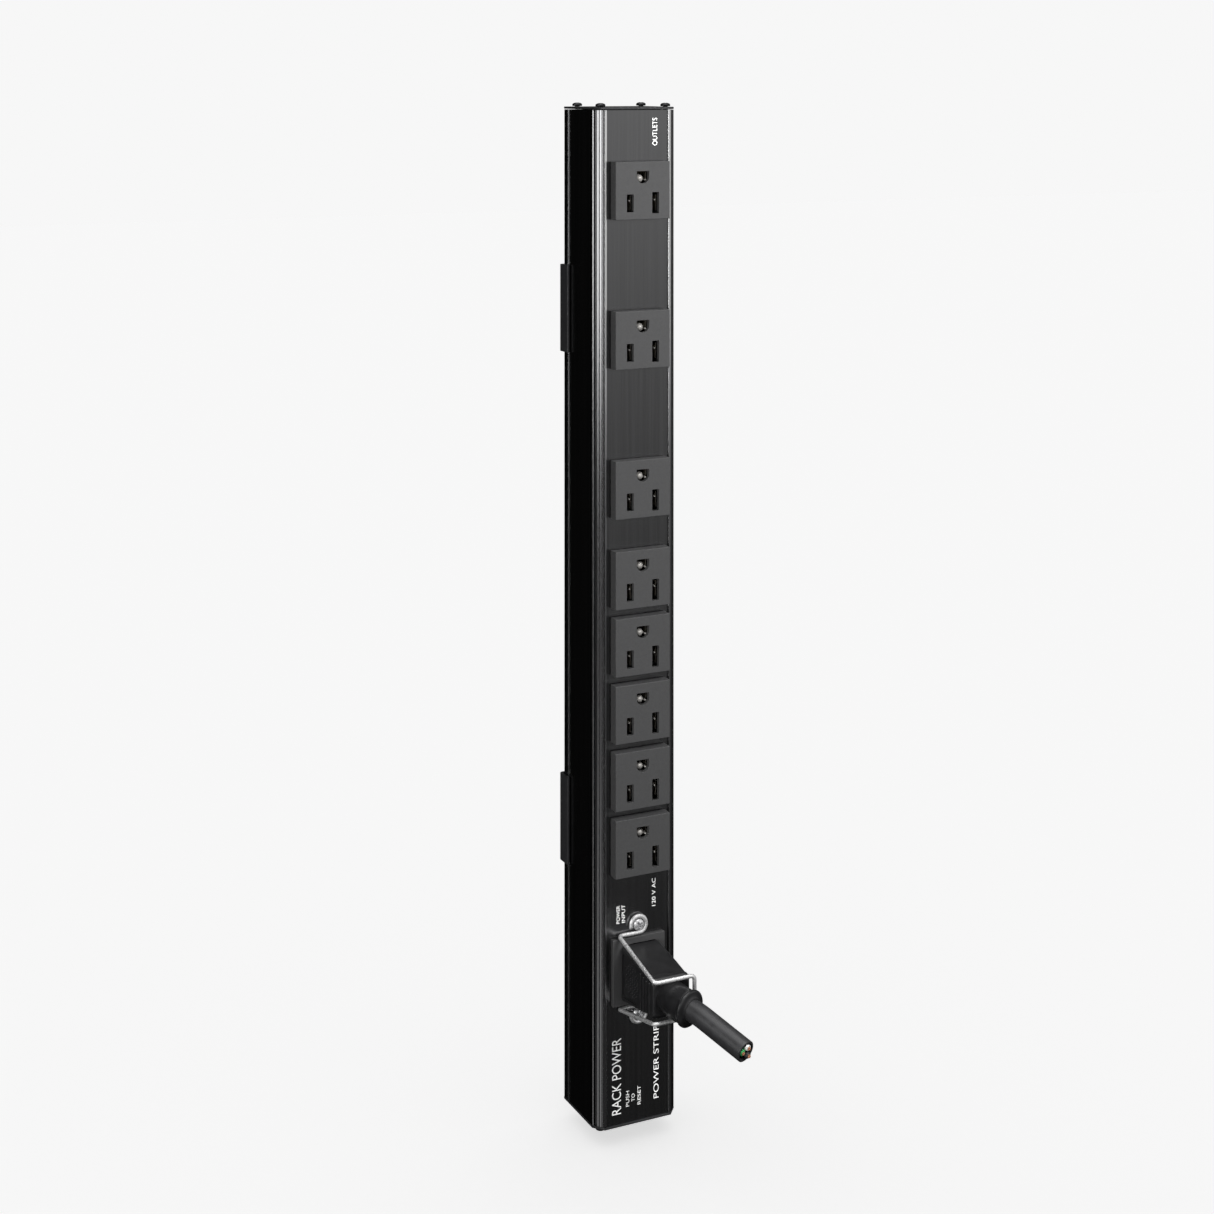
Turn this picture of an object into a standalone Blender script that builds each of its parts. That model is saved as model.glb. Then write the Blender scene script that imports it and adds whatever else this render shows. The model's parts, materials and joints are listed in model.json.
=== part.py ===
"""Rack power strip: an extruded housing with eight outlets, an appliance inlet and its cord, a wire bail,
a push-button circuit breaker and two snap-in mounting clips.

Lengths are in millimetres here and become metres as each shape is made. +Z is up along the strip, its outlets
face -Y, and the origin is the middle of the upper clip's back, which is the face that lies on the rack.
"""
import math

import bmesh
import bpy
from mathutils import Matrix, Vector

MM = 0.001
GAP = 0.3                 # clearance between pieces that touch
WELD = 1e-7               # metres

# Housing, outside
LENGTH = 457.2
WIDTH = 41.3
DEPTH = 35.0
CAP_THICKNESS = 1.0
PANEL_RECESS = 0.8
PANEL_THICKNESS = 1.6
LIP_WIDTH = 1.2
BEVEL_WIDTH = 4.0
BEVEL_DEPTH = 4.8
WALL = 1.5
PORT_X = 16.4             # screw ports, in the four corners
PORT_RADIUS = 1.4
FRONT_PORT_DEPTH = 5.0
REAR_PORT_DEPTH = 29.6
PORT_BLOCK = 2.4          # half the side of the material round a port
GROOVE_DEPTH = 0.8        # groove along each side, where the clips catch
REAR_BAND = 4.6

# Mounting clips
CLIP_THICKNESS = 1.5
CLIP_LENGTH = 40.0
CLIP_ARM = 8.0
CLIP_HOLE_SPACING = 24.0
CLIP_HOLE_RADIUS = 2.2
UPPER_CLIP_BELOW_TOP = 92.6
LOWER_CLIP_BELOW_TOP = 327.0

# Places along the strip, below its top end
FIRST_OUTLET = 37.3
WIDE_PITCH = 66.8
GROUP_STEP = 40.3
CLOSE_PITCH = 29.95
INLET_BELOW_TOP = 387.7

# Outlets
OUTLET_WIDTH = 27.2
OUTLET_HEIGHT = 25.9
OUTLET_PROUD = 5.8
NECK_WIDTH = 24.4
NECK_HEIGHT = 22.8
NECK_DEPTH = 15.3         # behind the panel's face
FACE_THICKNESS = 2.0
BLADE_X = 6.35            # half the standard blade spacing
BLADE_Z = -5.6
GROUND_Z = 6.3
GROUND_RADIUS = 3.1
GROUND_FLAT = 2.4         # from the arc's centre up to the flat
SLOT_WIDTH = 3.4
LINE_SLOT_HEIGHT = 8.0
NEUTRAL_SLOT_HEIGHT = 9.6
BLADE_CHAMBER = (2.2, -10.5, -0.7)     # half width, lowest and highest Z
GROUND_CHAMBER = 3.6      # half its side
BACK_THICKNESS = 1.5

# Contact bars
BAR_THICKNESS = 0.6
WEB_THICKNESS = 1.0
BLADE_LEAF = (1.7, 3.4)   # half width over the leaves, half height
GROUND_LEAF = (3.1, 2.5)
BAR_TAIL = 12.0
LEAF_SETBACK = 0.8        # from the back of the face to a leaf's tip

# Inlet
BEZEL_WIDTH = 26.0
BEZEL_HEIGHT = 30.0
BEZEL_PROUD = 2.0
EAR_THICKNESS = 2.0
EAR_HALF_HEIGHT = 24.5
INLET_SCREW_Z = 20.0
SCREW_CLEARANCE = 1.8     # radius of the holes for the inlet's screws
INLET_OPENING = (8.4, 12.2)
PLUG_NOSE = (7.9, 11.7)
CUT_CORNER = 3.6          # on the ground pin's side
SOCKET_DEPTH = 16.5       # from the bezel's face to the socket's floor
SOCKET_FLOOR = 4.0
NOSE_DEPTH = 15.0
PIN_SIZE = (4.0, 2.0)
PIN_PLACES = {"line": (2.0, -7.0), "neutral": (2.0, 7.0), "ground": (-2.0, 0.0)}

# Plug and cord
PLUG_WIDTH = 18.8
PLUG_HALF_FRONT = 12.2
PLUG_HALF_REAR = 7.8
PLUG_REAR = 33.5          # from the panel's face
BOSS_RADIUS = 7.5
BOSS_LENGTH = 14.0
CORD_RADIUS = 4.75
CORD_WALL = 1.0
CORD_LENGTH = 46.0        # beyond the plug's rear face
CONDUCTOR_RADIUS = 1.3
CONDUCTOR_OFFSET = 1.85   # from the cord's centre line
SLEEVE_LENGTH = 13.5

# Wire bail
WIRE_RADIUS = 0.9
EYE_RADIUS = 3.8
BAIL_CORNER = (-9.9, 16.4)
SADDLE_X = 9.7
SADDLE_Z = 8.9
SADDLE_DEPTH = 36.5       # from the panel's face
HINGE_X = -4.5
EYE_END = 1.0             # from the hinge line to the fixed wire's end
BOW_START = 0.15

# Circuit breaker
NECK_RADIUS = 4.9
BUTTON_RADIUS = 3.3
BUTTON_PROUD = 2.5        # beyond the neck's end
NECK_PROUD = 4.2          # beyond the lower cap
BREAKER_HALF_WIDTH = 7.5
BREAKER_HALF_DEPTH = 9.0
BREAKER_LENGTH = 24.0
TAB_LENGTH = 6.0
TAB_X = 4.0

HALF_WIDTH = WIDTH / 2
Y_REAR = -(CLIP_THICKNESS + GAP)
Y_FRONT = Y_REAR - DEPTH
Y_PANEL = Y_FRONT + PANEL_RECESS
Y_INSIDE = Y_PANEL + PANEL_THICKNESS
Z_TOP = UPPER_CLIP_BELOW_TOP
Z_BOTTOM = Z_TOP - LENGTH
Z_MIDDLE = (Z_TOP + Z_BOTTOM) / 2
BODY_LENGTH = LENGTH - 2 * (CAP_THICKNESS + GAP)
LIP_OUTSIDE = HALF_WIDTH - BEVEL_WIDTH
LIP_INSIDE = LIP_OUTSIDE - LIP_WIDTH
INLET_Z = Z_TOP - INLET_BELOW_TOP
WIRE_Y = Y_PANEL - GAP - WIRE_RADIUS
BACK_FRONT = Y_PANEL + NECK_DEPTH + GAP
WEB_FRONT = BACK_FRONT + BACK_THICKNESS + GAP
WEB_BACK = WEB_FRONT + WEB_THICKNESS
PIN_REAR = Y_PANEL + 25.5

# Rows of matrices that stand a flat outline up: its u and v become X and Z, or Y and Z.
UPRIGHT = Matrix.Rotation(math.radians(90), 4, "X")
SIDEWAYS = Matrix(((0, 0, 1, 0), (1, 0, 0, 0), (0, 1, 0, 0), (0, 0, 0, 1)))

MATERIALS = {
    "black_anodised": ((0.022, 0.022, 0.023), 0.34, 0.85),
    "black_sheet": ((0.02, 0.02, 0.021), 0.45, 0.5),
    "outlet_plastic": ((0.045, 0.045, 0.046), 0.55, 0.0),
    "inner_plastic": ((0.16, 0.16, 0.17), 0.6, 0.0),
    "brass": ((0.72, 0.53, 0.25), 0.28, 1.0),
    "bright_steel": ((0.72, 0.72, 0.73), 0.22, 1.0),
    "black_screw": ((0.03, 0.03, 0.031), 0.38, 0.8),
    "cord_vinyl": ((0.05, 0.05, 0.052), 0.62, 0.0),
    "button_plastic": ((0.02, 0.02, 0.02), 0.4, 0.0),
    "line_insulation": ((0.03, 0.03, 0.03), 0.5, 0.0),
    "neutral_insulation": ((0.75, 0.75, 0.73), 0.5, 0.0),
    "ground_insulation": ((0.05, 0.32, 0.1), 0.5, 0.0),
}


# ---------------------------------------------------------------- scene, materials and objects

def clear_scene():
    for obj in list(bpy.data.objects):
        bpy.data.objects.remove(obj, do_unlink=True)


def new_collection(name):
    collection = bpy.data.collections.new(name)
    bpy.context.scene.collection.children.link(collection)
    return collection


def make_material(name):
    colour, roughness, metallic = MATERIALS[name]
    material = bpy.data.materials.get(name) or bpy.data.materials.new(name)
    material.use_nodes = True
    surface = material.node_tree.nodes["Principled BSDF"]
    surface.inputs["Base Color"].default_value = (*colour, 1.0)
    surface.inputs["Roughness"].default_value = roughness
    surface.inputs["Metallic"].default_value = metallic
    material.diffuse_color = (*colour, 1.0)
    return material


def add_part(name, mesh, material, origin=(0, 0, 0), smooth=False):
    """A named piece whose object origin is at origin. The mesh comes in world coordinates."""
    place = Vector(origin) * MM
    mesh.transform(Matrix.Translation(-place))
    mesh.name = name
    mesh.materials.clear()
    mesh.materials.append(make_material(material))
    if smooth:
        mesh.shade_smooth()
        mesh.set_sharp_from_angle(angle=math.radians(35))
    obj = bpy.data.objects.new(name, mesh)
    obj.location = place
    PARTS.objects.link(obj)
    return obj


def copy_part(name, source, location):
    """Another object that shares the source's mesh, at its own place."""
    obj = bpy.data.objects.new(name, source.data)
    obj.location = Vector(location) * MM
    PARTS.objects.link(obj)
    return obj


def combine(obj, mesh, operation):
    """Cuts mesh from obj, or joins it to obj, with a Boolean modifier whose operand stays as a guide."""
    operand = bpy.data.objects.new(f"{obj.name}_{operation.lower()}_{len(obj.modifiers)}", mesh)
    operand.display_type = "WIRE"
    operand.hide_render = True
    CUTTERS.objects.link(operand)
    modifier = obj.modifiers.new(operation.title(), "BOOLEAN")
    modifier.operation = operation
    modifier.object = operand
    return operand


def cut(obj, mesh):
    return combine(obj, mesh, "DIFFERENCE")


def join(obj, mesh):
    return combine(obj, mesh, "UNION")


def freeze(obj):
    """Turns the modifiers into a plain mesh, so that copies can share it, and removes their operands."""
    bpy.context.view_layer.update()
    evaluated = obj.evaluated_get(bpy.context.evaluated_depsgraph_get())
    mesh = bpy.data.meshes.new_from_object(evaluated)
    operands = [modifier.object for modifier in obj.modifiers if modifier.type == "BOOLEAN"]
    obj.modifiers.clear()
    obj.data = mesh
    for operand in operands:
        bpy.data.objects.remove(operand, do_unlink=True)
    return obj


# ---------------------------------------------------------------- shapes

def finish_bmesh(shape, name="shape"):
    bmesh.ops.remove_doubles(shape, verts=shape.verts, dist=WELD)
    bmesh.ops.recalc_face_normals(shape, faces=shape.faces)
    mesh = bpy.data.meshes.new(name)
    shape.to_mesh(mesh)
    shape.free()
    return mesh


def boxes(*corners):
    """One mesh of separate boxes, each given by its lowest and its highest corner."""
    shape = bmesh.new()
    for low, high in corners:
        low, high = Vector(low) * MM, Vector(high) * MM
        matrix = Matrix.Translation((low + high) / 2) @ Matrix.Diagonal((*(high - low), 1))
        bmesh.ops.create_cube(shape, size=1, matrix=matrix)
    return finish_bmesh(shape)


def cylinders(radius, depth, turn, *centres, segments=16):
    """One mesh of equal separate cylinders, turned from the Z axis by the matrix turn."""
    shape = bmesh.new()
    for centre in centres:
        matrix = Matrix.Translation(Vector(centre) * MM) @ turn
        bmesh.ops.create_cone(
            shape, cap_ends=True, segments=segments, radius1=radius * MM, radius2=radius * MM,
            depth=depth * MM, matrix=matrix)
    return finish_bmesh(shape)


def mesh_from_curve(curve):
    """The closed mesh of a curve object's shape. The curve object is removed."""
    obj = bpy.data.objects.new("curve", curve)
    bpy.context.scene.collection.objects.link(obj)
    bpy.context.view_layer.update()
    evaluated = obj.evaluated_get(bpy.context.evaluated_depsgraph_get())
    mesh = bpy.data.meshes.new_from_object(evaluated)
    bpy.data.objects.remove(obj, do_unlink=True)
    bpy.data.curves.remove(curve)
    shape = bmesh.new()
    shape.from_mesh(mesh)
    bpy.data.meshes.remove(mesh)
    return finish_bmesh(shape)


def plate(loops, low, high, stand=Matrix.Identity(4)):
    """A flat outline, with its holes as further loops, extruded from low to high along its own normal."""
    curve = bpy.data.curves.new("outline", "CURVE")
    curve.dimensions = "2D"
    curve.fill_mode = "BOTH"
    curve.extrude = abs(high - low) / 2 * MM
    for loop in loops:
        spline = curve.splines.new("POLY")
        spline.points.add(len(loop) - 1)
        for point, (u, v) in zip(spline.points, loop):
            point.co = (u * MM, v * MM, 0, 1)
        spline.use_cyclic_u = True
    mesh = mesh_from_curve(curve)
    mesh.transform(stand @ Matrix.Translation((0, 0, (low + high) / 2 * MM)))
    return mesh


def upright_plate(loops, front, back):
    """A plate that faces -Y, between two values of Y."""
    return plate(loops, -back, -front, UPRIGHT)


def wire(points, radius, caps=True):
    """A round wire through the points."""
    curve = bpy.data.curves.new("wire", "CURVE")
    curve.dimensions = "3D"
    curve.bevel_depth = radius * MM
    curve.bevel_resolution = 2
    curve.use_fill_caps = caps
    spline = curve.splines.new("POLY")
    spline.points.add(len(points) - 1)
    for point, place in zip(spline.points, points):
        point.co = (*(Vector(place) * MM), 1)
    return mesh_from_curve(curve)


def turned(name, profile, material, location, turn, steps=14):
    """A solid turned about its own Z axis from a profile of (radius, height), listed from its top down."""
    mesh = bpy.data.meshes.new(name)
    points = [(radius * MM, 0, height * MM) for radius, height in profile]
    mesh.from_pydata(points, [(i, i + 1) for i in range(len(points) - 1)], [])
    mesh.materials.append(make_material(material))
    obj = bpy.data.objects.new(name, mesh)
    obj.location = Vector(location) * MM
    obj.rotation_euler = turn.to_euler()
    screw = obj.modifiers.new("Turn", "SCREW")
    screw.steps = steps
    screw.render_steps = steps
    screw.use_merge_vertices = True
    screw.merge_threshold = 0.00001
    PARTS.objects.link(obj)
    return obj


def rectangle(low_u, low_v, high_u, high_v):
    return [(low_u, low_v), (high_u, low_v), (high_u, high_v), (low_u, high_v)]


def arc(centre_u, centre_v, radius, start, end, steps):
    """Points on an arc, its two ends included. Angles are in degrees."""
    angles = [math.radians(start + (end - start) * i / steps) for i in range(steps + 1)]
    return [(centre_u + radius * math.cos(a), centre_v + radius * math.sin(a)) for a in angles]


def circle(centre_u, centre_v, radius, segments=16):
    return arc(centre_u, centre_v, radius, 0, 360, segments)[:-1]


def rounded(points, radius, steps=3):
    """The path through the points with each inner corner replaced by a short curve."""
    path = [Vector(points[0])]
    for before, corner, after in zip(points, points[1:], points[2:]):
        corner = Vector(corner)
        start = corner + (Vector(before) - corner).normalized() * radius
        end = corner + (Vector(after) - corner).normalized() * radius
        for i in range(steps + 1):
            t = i / steps
            path.append(start * (1 - t) ** 2 + corner * 2 * t * (1 - t) + end * t ** 2)
    path.append(Vector(points[-1]))
    return path


def outlet_heights():
    """The Z of the eight outlets' middles, from the top one down."""
    first = Z_TOP - FIRST_OUTLET
    wide = [first - i * WIDE_PITCH for i in range(3)]
    return wide + [wide[-1] - GROUP_STEP - i * CLOSE_PITCH for i in range(5)]


# ---------------------------------------------------------------- housing and end caps

def bevel_outline():
    """The fluted front corner at +X, from the lip to the side, as (x, depth behind the front)."""
    flutes = (0.03, 0.5), (0.09, 0.5), (0.12, 0), (0.3, 0), (0.33, 0.35), (0.36, 0), (0.66, 0), (0.7, 0.5), \
        (0.8, 0.5), (0.84, 0)
    run = Vector((BEVEL_WIDTH, BEVEL_DEPTH))
    inward = Vector((-BEVEL_DEPTH, BEVEL_WIDTH)).normalized()
    start = Vector((LIP_OUTSIDE, 0))
    return [tuple(start + run * along + inward * sink) for along, sink in flutes]


def port_outline(depth):
    """The inside of a corner block at +X with its open screw port, from the rear end to the front end."""
    inner = PORT_X - PORT_BLOCK
    slot = PORT_RADIUS / 2
    return [
        (inner, depth + slot),
        *arc(PORT_X, depth, PORT_RADIUS, 150, -150, 10),
        (inner, depth - slot),
    ]


def housing_half():
    """Half of the housing's section, at +X, as (x, depth), from the panel's face round to its back."""
    shelf = REAR_PORT_DEPTH + PORT_BLOCK - 0.9
    block = PORT_X - PORT_BLOCK
    inner = HALF_WIDTH - WALL
    groove = DEPTH - REAR_BAND
    outside = [
        (LIP_INSIDE, PANEL_RECESS), (LIP_INSIDE, 0), (LIP_OUTSIDE, 0), *bevel_outline(),
        (HALF_WIDTH, BEVEL_DEPTH),
        (HALF_WIDTH, groove - 1.8), (HALF_WIDTH - GROOVE_DEPTH, groove - 1.5),
        (HALF_WIDTH - GROOVE_DEPTH, groove - 0.3), (HALF_WIDTH, groove),
        (HALF_WIDTH, DEPTH - 0.5), (HALF_WIDTH - 0.5, DEPTH),
    ]
    cover_slot = [
        (16.0, DEPTH), (16.0, DEPTH - 1.4), (18.4, DEPTH - 1.4), (18.4, shelf), (block, shelf),
    ]
    inside = [
        *port_outline(REAR_PORT_DEPTH),
        (block, REAR_PORT_DEPTH - PORT_BLOCK), (inner, REAR_PORT_DEPTH - PORT_BLOCK),
        (inner, FRONT_PORT_DEPTH + PORT_BLOCK), (block, FRONT_PORT_DEPTH + PORT_BLOCK),
        *port_outline(FRONT_PORT_DEPTH),
        (block, PANEL_RECESS + PANEL_THICKNESS),
    ]
    return outside + cover_slot + inside


def housing_section():
    half = housing_half()
    mirrored = [(-x, depth) for x, depth in reversed(half)]
    return [(x, Y_FRONT + depth) for x, depth in half + mirrored]


def make_housing():
    low = Z_MIDDLE - BODY_LENGTH / 2
    housing = add_part("housing", plate([housing_section()], low, low + BODY_LENGTH), "black_anodised")
    openings = []
    for z in outlet_heights():
        half_x, half_z = NECK_WIDTH / 2 + GAP, NECK_HEIGHT / 2 + GAP
        openings.append(((-half_x, Y_PANEL - 1, z - half_z), (half_x, Y_INSIDE + 1, z + half_z)))
    half_x, half_z = BEZEL_WIDTH / 2 + GAP, BEZEL_HEIGHT / 2 + GAP
    openings.append(
        ((-half_x, Y_PANEL - 1, INLET_Z - half_z), (half_x, Y_INSIDE + 1, INLET_Z + half_z)))
    cut(housing, boxes(*openings))
    holes = [(0, (Y_PANEL + Y_INSIDE) / 2, INLET_Z + side * INLET_SCREW_Z) for side in (1, -1)]
    cut(housing, cylinders(SCREW_CLEARANCE, 4, UPRIGHT, *holes))


def make_rear_cover():
    thickness = 1.2
    half = 18.4 - GAP
    back = Y_REAR - 1.4 - GAP
    low = Z_MIDDLE - BODY_LENGTH / 2
    add_part("rear_cover", boxes(((-half, back - thickness, low), (half, back, low + BODY_LENGTH))),
             "black_sheet")


def screw_places():
    """Middles of the four screw ports, as (x, y)."""
    depths = FRONT_PORT_DEPTH, REAR_PORT_DEPTH
    return [(side * PORT_X, Y_FRONT + depth) for depth in depths for side in (-1, 1)]


def make_end_cap(name, low, extra_holes=()):
    shoulder = Y_FRONT + BEVEL_DEPTH
    outline = [
        (-LIP_OUTSIDE, Y_FRONT), (LIP_OUTSIDE, Y_FRONT), (HALF_WIDTH, shoulder), (HALF_WIDTH, Y_REAR),
        (-HALF_WIDTH, Y_REAR), (-HALF_WIDTH, shoulder),
    ]
    holes = [circle(x, y, 1.7, 12) for x, y in screw_places()]
    add_part(name, plate([outline, *holes, *extra_holes], low, low + CAP_THICKNESS), "black_sheet")


def make_cap_screws():
    head = [(0, 1.6), (1.3, 1.6), (2.0, 1.1), (2.25, 0.4), (2.25, 0)]
    profile = head + [(1.1, 0), (1.1, -8), (0.6, -9), (0, -9)]
    upright, inverted = Matrix.Identity(3), Matrix.Rotation(math.pi, 3, "X")
    for end, z, turn in (("upper", Z_TOP + GAP, upright), ("lower", Z_BOTTOM - GAP, inverted)):
        for number, (x, y) in enumerate(screw_places(), 1):
            turned(f"{end}_cap_screw_{number}", profile, "black_screw", (x, y, z), turn)


# ---------------------------------------------------------------- outlets and contact bars

def ground_slot():
    """The ground hole: flat on top, round below."""
    return arc(0, GROUND_Z, GROUND_RADIUS, 180, 360, 16) + \
        [(GROUND_RADIUS, GROUND_Z + GROUND_FLAT), (-GROUND_RADIUS, GROUND_Z + GROUND_FLAT)]


def blade_slot(x, height):
    return rectangle(x - SLOT_WIDTH / 2, BLADE_Z - height / 2, x + SLOT_WIDTH / 2, BLADE_Z + height / 2)


def lug(side):
    """A snap lug on one side of the neck, which catches behind the panel."""
    edge = NECK_WIDTH / 2
    start = OUTLET_PROUD + PANEL_THICKNESS + GAP
    outline = [(edge - 1, start), (edge + 1.2, start), (edge, start + 3), (edge - 1, start + 3)]
    return plate([[(side * x, y) for x, y in outline]], -3, 3)


def make_outlet_shell():
    """An outlet's moulded body, with its face's middle at the origin."""
    half_w, half_h = OUTLET_WIDTH / 2, OUTLET_HEIGHT / 2
    shell = add_part("outlet_1_shell", boxes(
        ((-half_w, 0, -half_h), (half_w, OUTLET_PROUD - GAP, half_h))), "outlet_plastic")
    back = OUTLET_PROUD + NECK_DEPTH
    join(shell, boxes(((-NECK_WIDTH / 2, 1, -NECK_HEIGHT / 2), (NECK_WIDTH / 2, back, NECK_HEIGHT / 2))))
    for side in (-1, 1):
        join(shell, lug(side))
    half, low, high = BLADE_CHAMBER
    chambers = [((x - half, FACE_THICKNESS, low), (x + half, back + 1, high)) for x in (-BLADE_X, BLADE_X)]
    half = GROUND_CHAMBER
    chambers.append(((-half, FACE_THICKNESS, GROUND_Z - half), (half, back + 1, GROUND_Z + half)))
    cut(shell, boxes(*chambers))
    line_slot, neutral_slot = blade_slot(-BLADE_X, LINE_SLOT_HEIGHT), blade_slot(BLADE_X, NEUTRAL_SLOT_HEIGHT)
    for slot in (line_slot, neutral_slot, ground_slot()):
        cut(shell, upright_plate([slot], -1, FACE_THICKNESS + 0.5))
    return freeze(shell)


def make_outlet_back():
    """The plate that closes an outlet's chambers, with openings for the bars' leaves."""
    outline = rectangle(-NECK_WIDTH / 2, -NECK_HEIGHT / 2, NECK_WIDTH / 2, NECK_HEIGHT / 2)
    blade_w, blade_h = (size + GAP for size in BLADE_LEAF)
    ground_w, ground_h = (size + GAP for size in GROUND_LEAF)
    openings = [rectangle(x - blade_w, BLADE_Z - blade_h, x + blade_w, BLADE_Z + blade_h)
                for x in (-BLADE_X, BLADE_X)]
    openings.append(rectangle(-ground_w, GROUND_Z - ground_h, ground_w, GROUND_Z + ground_h))
    return add_part("outlet_1_back", upright_plate([outline, *openings], 0, BACK_THICKNESS), "inner_plastic")


def make_outlets():
    shell, back = make_outlet_shell(), make_outlet_back()
    for number, z in enumerate(outlet_heights(), 1):
        face, plate_front = (0, Y_PANEL - OUTLET_PROUD, z), (0, BACK_FRONT, z)
        if number == 1:
            shell.location = Vector(face) * MM
            back.location = Vector(plate_front) * MM
        else:
            copy_part(f"outlet_{number}_shell", shell, face)
            copy_part(f"outlet_{number}_back", back, plate_front)


def make_bar(name, x, leaf_z, leaf, tail):
    """A brass channel along the strip whose sides are cut away between the outlets, leaving pairs of leaves."""
    half_width, half_height = leaf
    inner = half_width - BAR_THICKNESS
    tip = Y_PANEL - OUTLET_PROUD + FACE_THICKNESS + LEAF_SETBACK
    heights = [z + leaf_z for z in outlet_heights()]
    top = heights[0] + half_height
    low = heights[-1] - half_height - tail
    channel = [
        (-half_width, tip), (-inner, tip), (-inner, WEB_FRONT), (inner, WEB_FRONT),
        (inner, tip), (half_width, tip), (half_width, WEB_BACK), (-half_width, WEB_BACK),
    ]
    bar = add_part(name, plate([[(x + u, y) for u, y in channel]], low, top), "brass")
    edges = [z + half_height for z in heights[1:]] + [low - 1]
    gaps = [((x - 5, tip - 1, below), (x + 5, WEB_FRONT, z - half_height)) for z, below in zip(heights, edges)]
    cut(bar, boxes(*gaps))


def make_bars():
    make_bar("line_bar", -BLADE_X, BLADE_Z, BLADE_LEAF, BAR_TAIL)
    make_bar("neutral_bar", BLADE_X, BLADE_Z, BLADE_LEAF, BAR_TAIL)
    make_bar("ground_bar", 0, GROUND_Z, GROUND_LEAF, BAR_TAIL + 12)


# ---------------------------------------------------------------- inlet

def inlet_outline(half_x, half_z):
    """The inlet's opening: a rectangle on end with its two corners on the ground pin's side cut off."""
    return [
        (half_x, INLET_Z - half_z), (half_x, INLET_Z + half_z),
        (CUT_CORNER - half_x, INLET_Z + half_z), (-half_x, INLET_Z + half_z - CUT_CORNER),
        (-half_x, INLET_Z - half_z + CUT_CORNER), (CUT_CORNER - half_x, INLET_Z - half_z),
    ]


def around_pins(margin_x, margin_z, front, back):
    """Boxes round the three pins' places."""
    return [
        ((x - margin_x, front, INLET_Z + z - margin_z), (x + margin_x, back, INLET_Z + z + margin_z))
        for x, z in PIN_PLACES.values()]


def make_inlet_body():
    front = Y_PANEL - BEZEL_PROUD
    ear = Y_INSIDE + GAP
    floor = front + SOCKET_DEPTH
    back = floor + SOCKET_FLOOR
    half_x, half_z = BEZEL_WIDTH / 2, BEZEL_HEIGHT / 2
    body = add_part("inlet_body", boxes(
        ((-half_x, front, INLET_Z - half_z), (half_x, ear + 0.5, INLET_Z + half_z))), "outlet_plastic")
    ears = rectangle(-half_x, INLET_Z - EAR_HALF_HEIGHT, half_x, INLET_Z + EAR_HALF_HEIGHT)
    holes = [circle(0, INLET_Z + side * INLET_SCREW_Z, SCREW_CLEARANCE, 12) for side in (1, -1)]
    join(body, upright_plate([ears, *holes], ear, ear + EAR_THICKNESS))
    join(body, boxes(((1 - half_x, ear + 1, INLET_Z - 14), (half_x - 1, back, INLET_Z + 14))))
    cut(body, upright_plate([inlet_outline(*INLET_OPENING)], front - 1, floor))
    half_pin_x, half_pin_z = PIN_SIZE[0] / 2 + GAP, PIN_SIZE[1] / 2 + GAP
    cut(body, boxes(*around_pins(half_pin_x, half_pin_z, floor - 1, back + 1)))


def make_inlet_pins():
    front = Y_PANEL + 0.7
    half_x, half_z = PIN_SIZE[0] / 2, PIN_SIZE[1] / 2
    for name, (x, z) in PIN_PLACES.items():
        low = (x - half_x, front, INLET_Z + z - half_z)
        high = (x + half_x, PIN_REAR, INLET_Z + z + half_z)
        add_part(f"inlet_{name}_pin", boxes((low, high)), "bright_steel")


def make_inlet_screws():
    """Pan-head screws through the panel and the inlet's ears, and their nuts. The ground strap lies under
    the upper nut, so both nuts leave room for it."""
    head = [(0, 2.4), (1.4, 2.4), (2.2, 1.8), (2.6, 0.8), (2.6, 0)]
    profile = head + [(1.5, 0), (1.5, -8.4), (1.1, -9), (0, -9)]
    facing_front = Matrix.Rotation(math.radians(90), 3, "X")
    nut_front = Y_INSIDE + EAR_THICKNESS + 0.8 + 3 * GAP
    for place, side in (("upper", 1), ("lower", -1)):
        z = INLET_Z + side * INLET_SCREW_Z
        turned(f"inlet_screw_{place}", profile, "bright_steel", (0, Y_PANEL - GAP, z), facing_front)
        nut = [circle(0, z, 3.2, 6), circle(0, z, SCREW_CLEARANCE, 12)]
        add_part(f"inlet_nut_{place}", upright_plate(nut, nut_front, nut_front + 2.2), "bright_steel")


# ---------------------------------------------------------------- plug and cord

def cord_point(distance):
    """A point on the cord's centre line, at a distance along it from the plug's rear face. The cord leaves
    straight, bends to +X inside the strain relief, then droops."""
    step = 0.5
    place = Vector((0, Y_PANEL - PLUG_REAR, INLET_Z))
    if distance <= 0:
        return place - Vector((0, distance, 0))
    travelled = 0.0
    while travelled < distance:
        swing = math.radians(20) * min(max((travelled - 3) / 9, 0), 1)
        droop = math.radians(16) * min(max((travelled - 8) / 14, 0), 1)
        length = min(step, distance - travelled)
        place += length * Vector((
            math.sin(swing) * math.cos(droop), -math.cos(swing) * math.cos(droop), -math.sin(droop)))
        travelled += length
    return place


def cord_path(start, end, step=3.0):
    count = max(2, round((end - start) / step))
    return [cord_point(start + (end - start) * i / count) for i in range(count + 1)]


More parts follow.
